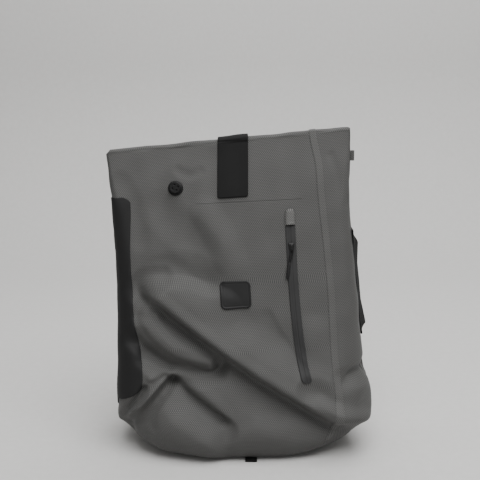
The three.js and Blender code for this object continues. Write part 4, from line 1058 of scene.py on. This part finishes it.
# %% [markdown]
# The side handle is a loop of webbing on the right side. Both ends are sewn flat, and between them it
# stands off far enough for fingers, and hangs a little turned, its front edge near the bag.

# %% Side handle
SIDE_PLACE, SIDE_LEVEL, SIDE_LENGTH, SIDE_WIDTH = 1.25, 0.529, 133.0, 25.0
# Columns: part of the way from the loop's middle to its ends, and millimetres out from the bag.
LOOP = (
    (-1, 1.4), (-0.96, 1.5), (-0.93, 3.2), (-0.89, 4.9), (-0.80, 4.4), (-0.4, 2.7), (0, 2.2), (0.3, 2.4),
    (0.6, 3.6), (0.74, 4.2), (0.84, 2.4), (0.9, 1.4), (1, 1.4),
)
# Columns: part of the way, and how far the webbing is turned there.
LOOP_TURN = np.array([[-0.96, 0], [-0.87, 0.40], [-0.4, 0.26], [0.3, 0.26], [0.7, 0.40], [0.9, 0]])


def side_point(part, out):
    return cloth_point(SIDE_PLACE, SIDE_LEVEL + part * SIDE_LENGTH / 2 / BAG_HEIGHT) + out * ACROSS


def carry_loop():
    path = smooth_path([side_point(part, out) for part, out in LOOP], 110, 5)
    turn = np.interp(np.linspace(-1, 1, len(path)), *LOOP_TURN.T)
    across = np.stack([-np.sin(turn), -np.cos(turn), 0 * turn], -1)
    return webbing_strip("carry_loop", path, across, SIDE_WIDTH, 2.0, "side_handle")


carry_loop()

# %% [markdown]
# Sewn ends carry a box of stitches. Each stitch is a small bead of thread, laid in rows.

# %% Stitches
STITCH_PITCH, STITCH_SHARE, STITCH_OUT = 2.6, 0.36, 9.5
# Columns: part of the way from a bead's middle to its ends, and its width.
BEAD = ((-1, 0.15), (-0.6, 0.5), (0, 0.62), (0.6, 0.5), (1, 0.15))


def stitch_line(corners, out):
    """Short beads of thread along the lines between corner points."""
    parts = []
    for start, end in zip(corners[:-1], corners[1:]):
        length = np.linalg.norm(end - start)
        way = (end - start) / length
        across = np.cross(way, out)
        count = max(int(length / STITCH_PITCH), 1)
        half = STITCH_SHARE * length / count
        for index in range(count):
            middle = start + way * (index + 0.5) * length / count
            parts.append(sweep([(middle + way * t * half, way, across, w, w * 0.8) for t, w in BEAD], 6))
    return parts


def stitch_box(corners, out):
    """A box of stitches with both its diagonals."""
    rows = (corners + corners[:1], corners[::2], corners[1::2])
    return [bead for row in rows for bead in stitch_line(row, out)]


def handle_stitches():
    parts = []
    for low, high in ((-0.99, -0.945), (0.905, 0.985)):
        spots = ((low, -STITCH_OUT), (high, -STITCH_OUT), (high, STITCH_OUT), (low, STITCH_OUT))
        parts += stitch_box([side_point(part, 2.55) + side * BEHIND for part, side in spots], ACROSS)
    return parts


handle_thread = new_piece("side_handle_stitches", *join_parts(handle_stitches()), THREAD, "webbing")
print("side handle stitched with", len(handle_thread.data.polygons) // 26, "beads")

# %% [markdown]
# A small folded tab stands out at the right edge near the top, and a webbing tab peeps out under the
# front. Both are folded cloth: two layers with a round fold.

# %% Two small tabs
SIDE_TAB = (
    (0.5, 1.0), (2.0, 1.1), (3.6, 1.2), (4.7, 0.7), (5.0, 0.0),
    (4.7, -0.7), (3.6, -1.2), (2.0, -1.1), (0.5, -1.0),
)
BOTTOM_TAB = ((0, 0.6), (0.4, 0.6), (0.9, 0.6), (0.97, 1.1), (0.9, 1.6), (0.4, 1.65), (0, 1.7))


def side_tab():
    path = smooth_path([cloth_point(1.5, 0.925) + (x, y, 0) for x, y in SIDE_TAB], 50, 2)
    return webbing_strip("edge_tab", path, (0, 0, 1), 13.5, 1.3, "side_tab", TRIM_CLOTH, "fabric_trim")


def bottom_tab():
    low, high = (np.array(corner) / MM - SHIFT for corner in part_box("bottom_tab"))
    x, back_y, reach = (low[0] + high[0]) / 2, high[1], high[1] - low[1]
    path = smooth_path([(x, back_y - reach * part, z) for part, z in BOTTOM_TAB], 50, 1)
    return webbing_strip("foot_tab", path, ACROSS, 15.0, 0.9, "bottom_tab")


tabs = side_tab(), bottom_tab()
print("tabs", [tab.name for tab in tabs])

# %% [markdown]
# The back is where the bag meets the wearer, and a photograph of the front says nothing about it. It gets
# what bags of this kind have: a padded panel with channels for air, two padded shoulder straps with
# ladder locks, and a grab handle. Its foam is covered in spacer mesh, a knit of small open cells.

# %% Spacer mesh
def spacer_mesh(name, tone, pitch):
    finish = Finish(name, (tone, tone, tone * 1.03), 0.88, 0.25, sheen=0.2)
    axes = finish.split(finish.object_place())
    u, v = (finish.math("MULTIPLY", axes[index], 1 / MM) for index in (0, 2))
    row = finish.math("FLOOR", finish.math("DIVIDE", v, pitch * 0.5))
    shifted = finish.math("MULTIPLY_ADD", finish.math("MODULO", row, 2.0), pitch / 2, u)
    cells = finish.math("MULTIPLY", finish.wave(shifted, pitch), finish.wave(v, pitch * 0.5))
    fuzz = finish.noise(240.0, 3.0)
    open_cell = finish.remap(cells, 0.25, 0.75, 0.0, 1.0)
    colour = finish.mix(open_cell, (tone * 1.7, tone * 1.7, tone * 1.75), (tone * 0.35,) * 3)
    finish.paint(colour, finish.span(fuzz, 0.8, 0.95))
    finish.raise_by(finish.math("SUBTRACT", 1.0, open_cell), 0.5, 0.8)
    return finish.material


MESH_CLOTH = spacer_mesh("spacer_mesh", 0.022, 3.1)

# %% [markdown]
# Foam under cloth swells between its seams. Blender's cloth, filled with a little pressure and without
# gravity, gives that fullness. The pad starts thinner than it ends, each point may move only a
# millimetre or two, and the result is kept as plain mesh.

# %% Blowing up a pad
PAD_CELL, PAD_PRESSURE, PAD_FRAMES = 4.0, 4.0, 20


def remeshed(name, points, faces):
    piece = link_mesh(name, points, faces, SHIFT)
    even = piece.modifiers.new("even", "REMESH")
    even.mode, even.voxel_size = "VOXEL", PAD_CELL * MM
    return keep_shape(piece)


def keep_shape(piece):
    """The piece with its modifiers worked into its mesh."""
    seen = piece.evaluated_get(bpy.context.evaluated_depsgraph_get())
    fresh = bpy.data.meshes.new_from_object(seen)
    old = piece.data
    piece.modifiers.clear()
    piece.data = fresh
    bpy.data.meshes.remove(old)
    return piece


def mesh_points(mesh):
    points = np.empty(len(mesh.vertices) * 3)
    mesh.vertices.foreach_get("co", points)
    return points.reshape(-1, 3)


def set_points(piece, points):
    piece.data.vertices.foreach_set("co", points.astype(np.float32).ravel())
    piece.data.update()
    return piece


def swell(piece, most):
    """Cloth under pressure, with each point kept within so many millimetres of where it was."""
    start = mesh_points(piece.data)
    cloth = piece.modifiers.new("cloth", "CLOTH")
    cloth.settings.use_pressure = True
    cloth.settings.uniform_pressure_force = PAD_PRESSURE
    cloth.settings.effector_weights.gravity = 0.0
    scene = bpy.context.scene
    for frame_number in range(1, PAD_FRAMES + 1):
        scene.frame_set(frame_number)
    keep_shape(piece)
    scene.frame_set(1)
    moved = mesh_points(piece.data) - start
    reach = np.linalg.norm(moved, axis=1, keepdims=True)
    print(piece.name, "swelled by at most", round(float(reach.max() / MM), 2), "mm")
    return set_points(piece, start + moved * np.minimum(1, most * MM / np.maximum(reach, 1e-9)))


def dress(piece, material, stands_for):
    """Finish for a padded piece: one subdivision, smooth faces, its material and its place."""
    finer = piece.modifiers.new("finer", "SUBSURF")
    finer.levels = finer.render_levels = 1
    keep_shape(piece)
    piece.data.materials.clear()
    join_frame(coat(piece, material), stands_for)
    return piece


# %% [markdown]
# The back pad is one sheet of foam with a centre channel and three crossing ones sewn in after it has
# swelled, because remeshing would wipe out anything finer than its cells.

# %% Back pad
PAD_LOW, PAD_HIGH, PAD_THICKNESS = 0.075, 0.845, 5.0
PAD_HALF = BAG_WIDTH / 2 - 62.0


def behind(x, level, out):
    """A point behind the flat back at x, level and distance out from the cloth."""
    size = read_level(level)
    point = cloth_point(3 - (x - size["middle"]) / size["half"], level)
    point[..., 1] += out
    return point


def pad_block():
    columns, rows = np.linspace(-1, 1, 61), np.linspace(0, 1, 91)
    v = (rows - 0.5) * (PAD_HIGH - PAD_LOW) * BAG_HEIGHT
    half = rounded_half(v, 2 * PAD_HALF, np.ptp(v), 26.0)[:, None]
    level = (PAD_LOW + rows * (PAD_HIGH - PAD_LOW))[:, None]
    x = read_level(level)["middle"] + half * columns
    from_edge = np.minimum(half * (1 - np.abs(columns)), (np.ptp(v) / 2 - np.abs(v))[:, None])
    top = behind(x, level, 0.9 + 0.8 + (PAD_THICKNESS - 1.2) * round_over(from_edge / 9))
    return sheet_arrays(top[:, ::-1], behind(x, level, 0.7)[:, ::-1])


def sew_channels(piece, depth=2.6):
    """Presses the air channels into the pad's face."""
    points = mesh_points(piece.data)
    local = points / MM - SHIFT
    level = local[:, 2] / BAG_HEIGHT
    x = local[:, 0] - read_level(np.clip(level, 0, 1))["middle"]
    z = (level - (PAD_LOW + PAD_HIGH) / 2) * BAG_HEIGHT
    channel = np.exp(-(x / 7.5) ** 4)
    for middle in (-0.27, 0.02, 0.31):
        bow = middle * (PAD_HIGH - PAD_LOW) * BAG_HEIGHT + 12 * (x / PAD_HALF) ** 2
        channel = np.maximum(channel, 0.85 * np.exp(-((z - bow) / 4.2) ** 4))
    normals = np.empty(len(piece.data.vertices) * 3)
    piece.data.vertices.foreach_get("normal", normals)
    points[:, 1] -= depth * MM * channel * np.clip(normals.reshape(-1, 3)[:, 1], 0, 1)
    return set_points(piece, points)


def keep_off(piece, least):
    """Keeps every point of a padded piece at least so many millimetres behind the back's cloth."""
    local = mesh_points(piece.data) / MM - SHIFT
    ground = behind(local[:, 0], np.clip(local[:, 2] / BAG_HEIGHT, 0, 1), 0.0)[:, 1]
    local[:, 1] = np.maximum(local[:, 1], ground + least)
    return set_points(piece, (local + SHIFT) * MM)


back_pad = remeshed("padded_back", *pad_block())
swell(back_pad, 2.2)
back_pad = dress(sew_channels(keep_off(back_pad, 0.5)), MESH_CLOTH, "back_pad")
keep_off(back_pad, 0.4)
print("back pad", len(back_pad.data.polygons), "faces")

# %% [markdown]
# The shoulder straps are cut wide at the shoulder and narrow towards the lock. They are blown up like
# the pad and edged with a narrow binding.

# %% Shoulder straps
SHOULDER_WIDTH, SHOULDER_THICKNESS, SHOULDER_BOW = 62.0, 6.0, 20.0
# Columns: up, out and spread as shares of the strap's bow and the pad's half width, then its width.
SHOULDER = np.array([
    [0.760, 0.00, 0.43, 0.74], [0.730, 0.02, 0.44, 0.80], [0.690, 0.42, 0.47, 0.92],
    [0.630, 0.82, 0.54, 1.00], [0.550, 1.00, 0.66, 1.00], [0.465, 0.92, 0.78, 0.92],
    [0.390, 0.74, 0.87, 0.78], [0.330, 0.58, 0.93, 0.62],
])
PAD_FACE = 0.9 + PAD_THICKNESS


def strap_line(side, up):
    """The strap's middle, and its width, at heights given as shares."""
    _, bow, spread, width = np.moveaxis(read_rows(SHOULDER[::-1], up), -1, 0)
    x = read_level(up)["middle"] + side * spread * PAD_HALF
    out = PAD_FACE + 0.4 + SHOULDER_THICKNESS / 2 + np.maximum(bow, 0) * SHOULDER_BOW
    return behind(x, up, out), width * SHOULDER_WIDTH


def strap_block(side):
    middle, width = strap_line(side, np.linspace(0.762, 0.328, 80))
    way = np.gradient(middle, axis=0)
    way[:, 0] = 0
    drawn = np.minimum(np.arange(80), np.arange(80)[::-1]) / 5.0
    tight = 0.86 + 0.14 * round_over(drawn)
    rings = [(point, direction, ACROSS, wide * part - 3.0, (SHOULDER_THICKNESS - 1.6) * part)
             for point, direction, wide, part in zip(middle, way, width, tight)]
    return sweep(rings, 36, 4.6)


def strap_binding(side):
    """The edge tape, along both edges and round the strap's top."""
    middle, width = strap_line(side, np.linspace(0.345, 0.756, 70))
    aside = (width / 2 - 1.2)[:, None] * ACROSS
    left, right = middle - aside, (middle + aside)[::-1]
    top = np.linspace(left[-1], right[0], 14)[1:-1]
    top[:, 2] += 2.2 * np.sin(np.linspace(0, math.pi, 14)[1:-1])
    path = soften(np.concatenate([left, top, right]), 2)
    return run_along(path, 2.6, SHOULDER_THICKNESS - 0.9, 12, 3.0)


HANDS = ((-1, "left"), (1, "right"))
straps = []
for side, hand in HANDS:
    strap_piece = remeshed(f"padded_strap_{hand}", *strap_block(side))
    swell(strap_piece, 1.2)
    straps.append(dress(strap_piece, MESH_CLOTH, f"shoulder_strap_{hand}"))
    tape = moulded(f"binding_{hand}", 0.014, 0.8)
    straps.append(new_piece(f"strap_binding_{hand}", *strap_binding(side), tape, "webbing"))
print("shoulder straps", [len(piece.data.polygons) for piece in straps], "faces")

# %% [markdown]
# Each strap ends in a ladder lock. Webbing runs from it to an anchor tab sewn beside the pad. The lock is
# a frame with two slots and rounded bars, and its bars are swept round their own lines.

# %% Ladder locks, webbing and anchors
LOCK_WIDTH, LOCK_HEIGHT, LOCK_THICKNESS = 34.0, 28.0, 4.0
ANCHOR_HALF, ANCHOR_LOW, ANCHOR_HIGH = 15.0, 0.084, 0.156


def lock_place(side):
    """Where the strap ends, and the way it points there."""
    ends, _ = strap_line(side, np.array([0.390, 0.330]))
    way = ends[1] - ends[0]
    way[0] = 0
    return ends[1], unit(way)


def ladder_lock(side, hand):
    end, way = lock_place(side)
    foot = end + way * 0.4
    half = LOCK_WIDTH / 2
    bars = []
    for down, thick in ((2.0, 3.6), (LOCK_HEIGHT / 2, 3.2), (LOCK_HEIGHT - 2.0, 3.8)):
        line = [foot + way * down + ACROSS * x for x in np.linspace(1.4 - half, half - 1.4, 13)]
        bars.append(sweep([(point, ACROSS, way, 3.8, thick) for point in line], 16, 3.2))
    for edge in (-1, 1):
        downs = np.linspace(0.7, LOCK_HEIGHT - 0.7, 17)
        aside = edge * (half - 2.1 + 0.5 * np.sin(math.pi * downs / LOCK_HEIGHT))
        line = foot + np.outer(downs, way) + np.outer(aside, ACROSS)
        bars.append(sweep([(point, way, ACROSS, 3.9, LOCK_THICKNESS - 0.2) for point in line], 16, 3.2))
    place = (HARD_PLASTIC, "black_plastic", f"ladder_lock_{hand}")
    return new_piece(f"strap_buckle_{hand}", *join_parts(bars), *place)


def anchor_middle(side):
    return middle_at(0.105) + side * (PAD_HALF + 3.0 + ANCHOR_HALF)


def strap_webbing(side, hand):
    end, way = lock_place(side)
    out = np.cross(ACROSS, way)
    inside = out * (3.2 if out[1] < 0 else -3.2)
    knots = [end + way * 3 + inside, end + way * 16 + inside, end + way * 27 + inside * 0.95]
    foot, sewn = (behind(anchor_middle(side), up, 3.7) for up in (0.14, 0.095))
    bend = (knots[-1] + foot) / 2 + 3.4 * BEHIND
    path = smooth_path(knots + [bend, foot, sewn], 70, 4)
    return webbing_strip(f"loose_webbing_{hand}", path, ACROSS, 25.0, 1.7, f"strap_webbing_{hand}")


def strap_anchor(side, hand):
    share, up = crowd(14, 0.06, 5), crowd(18, 0.05, 5)
    rows = ANCHOR_LOW + (ANCHOR_HIGH - ANCHOR_LOW) * up
    half = ANCHOR_HALF * (1 - 0.3 * np.clip((rows - 0.135) / 0.021, 0, 1))
    x = anchor_middle(side) + half[:, None] * (2 * share - 1)
    points = behind(x, rows[:, None], 0.0)[:, ::-1]
    height = np.minimum(round_edge(share, 2 * ANCHOR_HALF, 0.9)[None, :], round_edge(up, 28.0, 0.9)[:, None])
    place = (WEBBING_WITH_PAINTED_SHADE, "webbing", f"strap_anchor_{hand}")
    return lay_on(f"anchor_patch_{hand}", points, height, 1.5, LAY_GAP, *place)


def anchor_stitches(side):
    spots = ((-STITCH_OUT, 0.099), (STITCH_OUT, 0.099), (STITCH_OUT, 0.125), (-STITCH_OUT, 0.125))
    return stitch_box([behind(anchor_middle(side) + dx, up, 4.75) for dx, up in spots], BEHIND)


for side, hand in HANDS:
    ladder_lock(side, hand)
    strap_webbing(side, hand)
    strap_anchor(side, hand)
    new_piece(f"anchor_stitches_{hand}", *join_parts(anchor_stitches(side)), THREAD, "webbing")


# %% [markdown]
# The grab handle is webbing sewn across the top of the pad, bowed so that a hand fits under it. The base
# keeps the frame's own sheet, which is flat as it should be, and only takes a finish.

# %% Grab handle and base
# Columns: part of the way from the handle's middle to its ends, and share of its bow.
GRAB = (
    (-1, 0), (-0.86, 0), (-0.78, 0.06), (-0.64, 0.66), (-0.4, 0.92), (0, 1), (0.4, 0.92), (0.64, 0.66),
    (0.78, 0.06), (0.86, 0), (1, 0),
)
GRAB_LEVEL, GRAB_LENGTH, GRAB_BOW, GRAB_WIDTH = 0.805, 110.0, 20.0, 22.0


def grab_handle():
    middle = middle_at(GRAB_LEVEL)
    rise = unit(behind(middle, GRAB_LEVEL, 0.0) - behind(middle, GRAB_LEVEL - 0.05, 0.0))
    knots = [behind(middle + along * GRAB_LENGTH / 2, GRAB_LEVEL, PAD_FACE + 1.5 + out * GRAB_BOW)
             for along, out in GRAB]
    return webbing_strip("hang_loop", smooth_path(knots, 90, 4), rise, GRAB_WIDTH, 2.0, "grab_handle")


grab_handle()

BASE_CLOTH = ("base_cloth", 0.02, 0.6, 0.4, (30.0, 4.0), (420.0, 2.0), (0.1, 0.8), 0.1, (1.5,) * 3)
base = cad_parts["base_panel"]
for kept in base.material_slots:
    kept.link = "OBJECT"
    kept.material = grained(*BASE_CLOTH)
print("base finished", len(base.material_slots), "slots")

# %% [markdown]
# The bag stands on a pale floor in front of nothing, so that it is judged by itself. The floor curves up
# behind it into a backdrop. A large soft light above and before the bag gives the folds their shading,
# as in the photograph, and a pale world fills the shadows.

# %% Floor and backdrop
def make_floor():
    profile = [(-2600.0, 0.0), (900.0, 0.0)]
    turns = np.linspace(0.1, math.pi / 2, 14)
    profile += [(900 + 500 * math.sin(turn), 500 * (1 - math.cos(turn))) for turn in turns]
    profile.append((1400.0, 2600.0))
    points = np.array([(x, y, z) for y, z in profile for x in (-3200.0, 3200.0)])
    finish = Finish("pale_floor", (0.56, 0.555, 0.545), 0.85, 0.2)
    finish.paint(finish.mix(finish.noise(90.0, 5.0), (0.53, 0.525, 0.515), (0.60, 0.595, 0.585)))
    floor = link_mesh("floor", points, grid_quads(len(profile), 2)[:, ::-1].tolist(), 0.0)
    coat(floor, finish.material)


make_floor()

# %% Lights
def soft_light(name, place, target, size, power):
    data = bpy.data.lights.new(name, "AREA")
    data.shape, data.size, data.size_y, data.energy = "RECTANGLE", size[0], size[1], power
    light = bpy.data.objects.new(name, data)
    light.location = place
    light.rotation_euler = (Vector(target) - Vector(place)).to_track_quat("-Z", "Y").to_euler()
    bpy.context.scene.collection.objects.link(light)
    return light


BAG_FOOT, WALL_FOOT = (0.0, 0.0, 0.2), (0.0, 1.4, 0.7)
lights = [
    soft_light("ceiling_light", (0.35, -0.75, 1.95), BAG_FOOT, (1.9, 1.4), 55.0),
    soft_light("front_fill", (0.5, -2.4, 0.7), BAG_FOOT, (2.4, 1.2), 6.5),
    soft_light("back_fill", (0.2, 1.0, 1.9), BAG_FOOT, (1.6, 1.0), 14.0),
    soft_light("wall_light", (0.0, 0.3, 2.3), WALL_FOOT, (2.4, 0.5), 16.0),
]
world = bpy.data.worlds.new("pale_room")
world.use_nodes = True
glow = world.node_tree.nodes["Background"].inputs
glow[0].default_value, glow[1].default_value = (1.0, 0.995, 0.985, 1), 0.29
bpy.context.scene.world = world
print("lights", [light.name for light in lights])
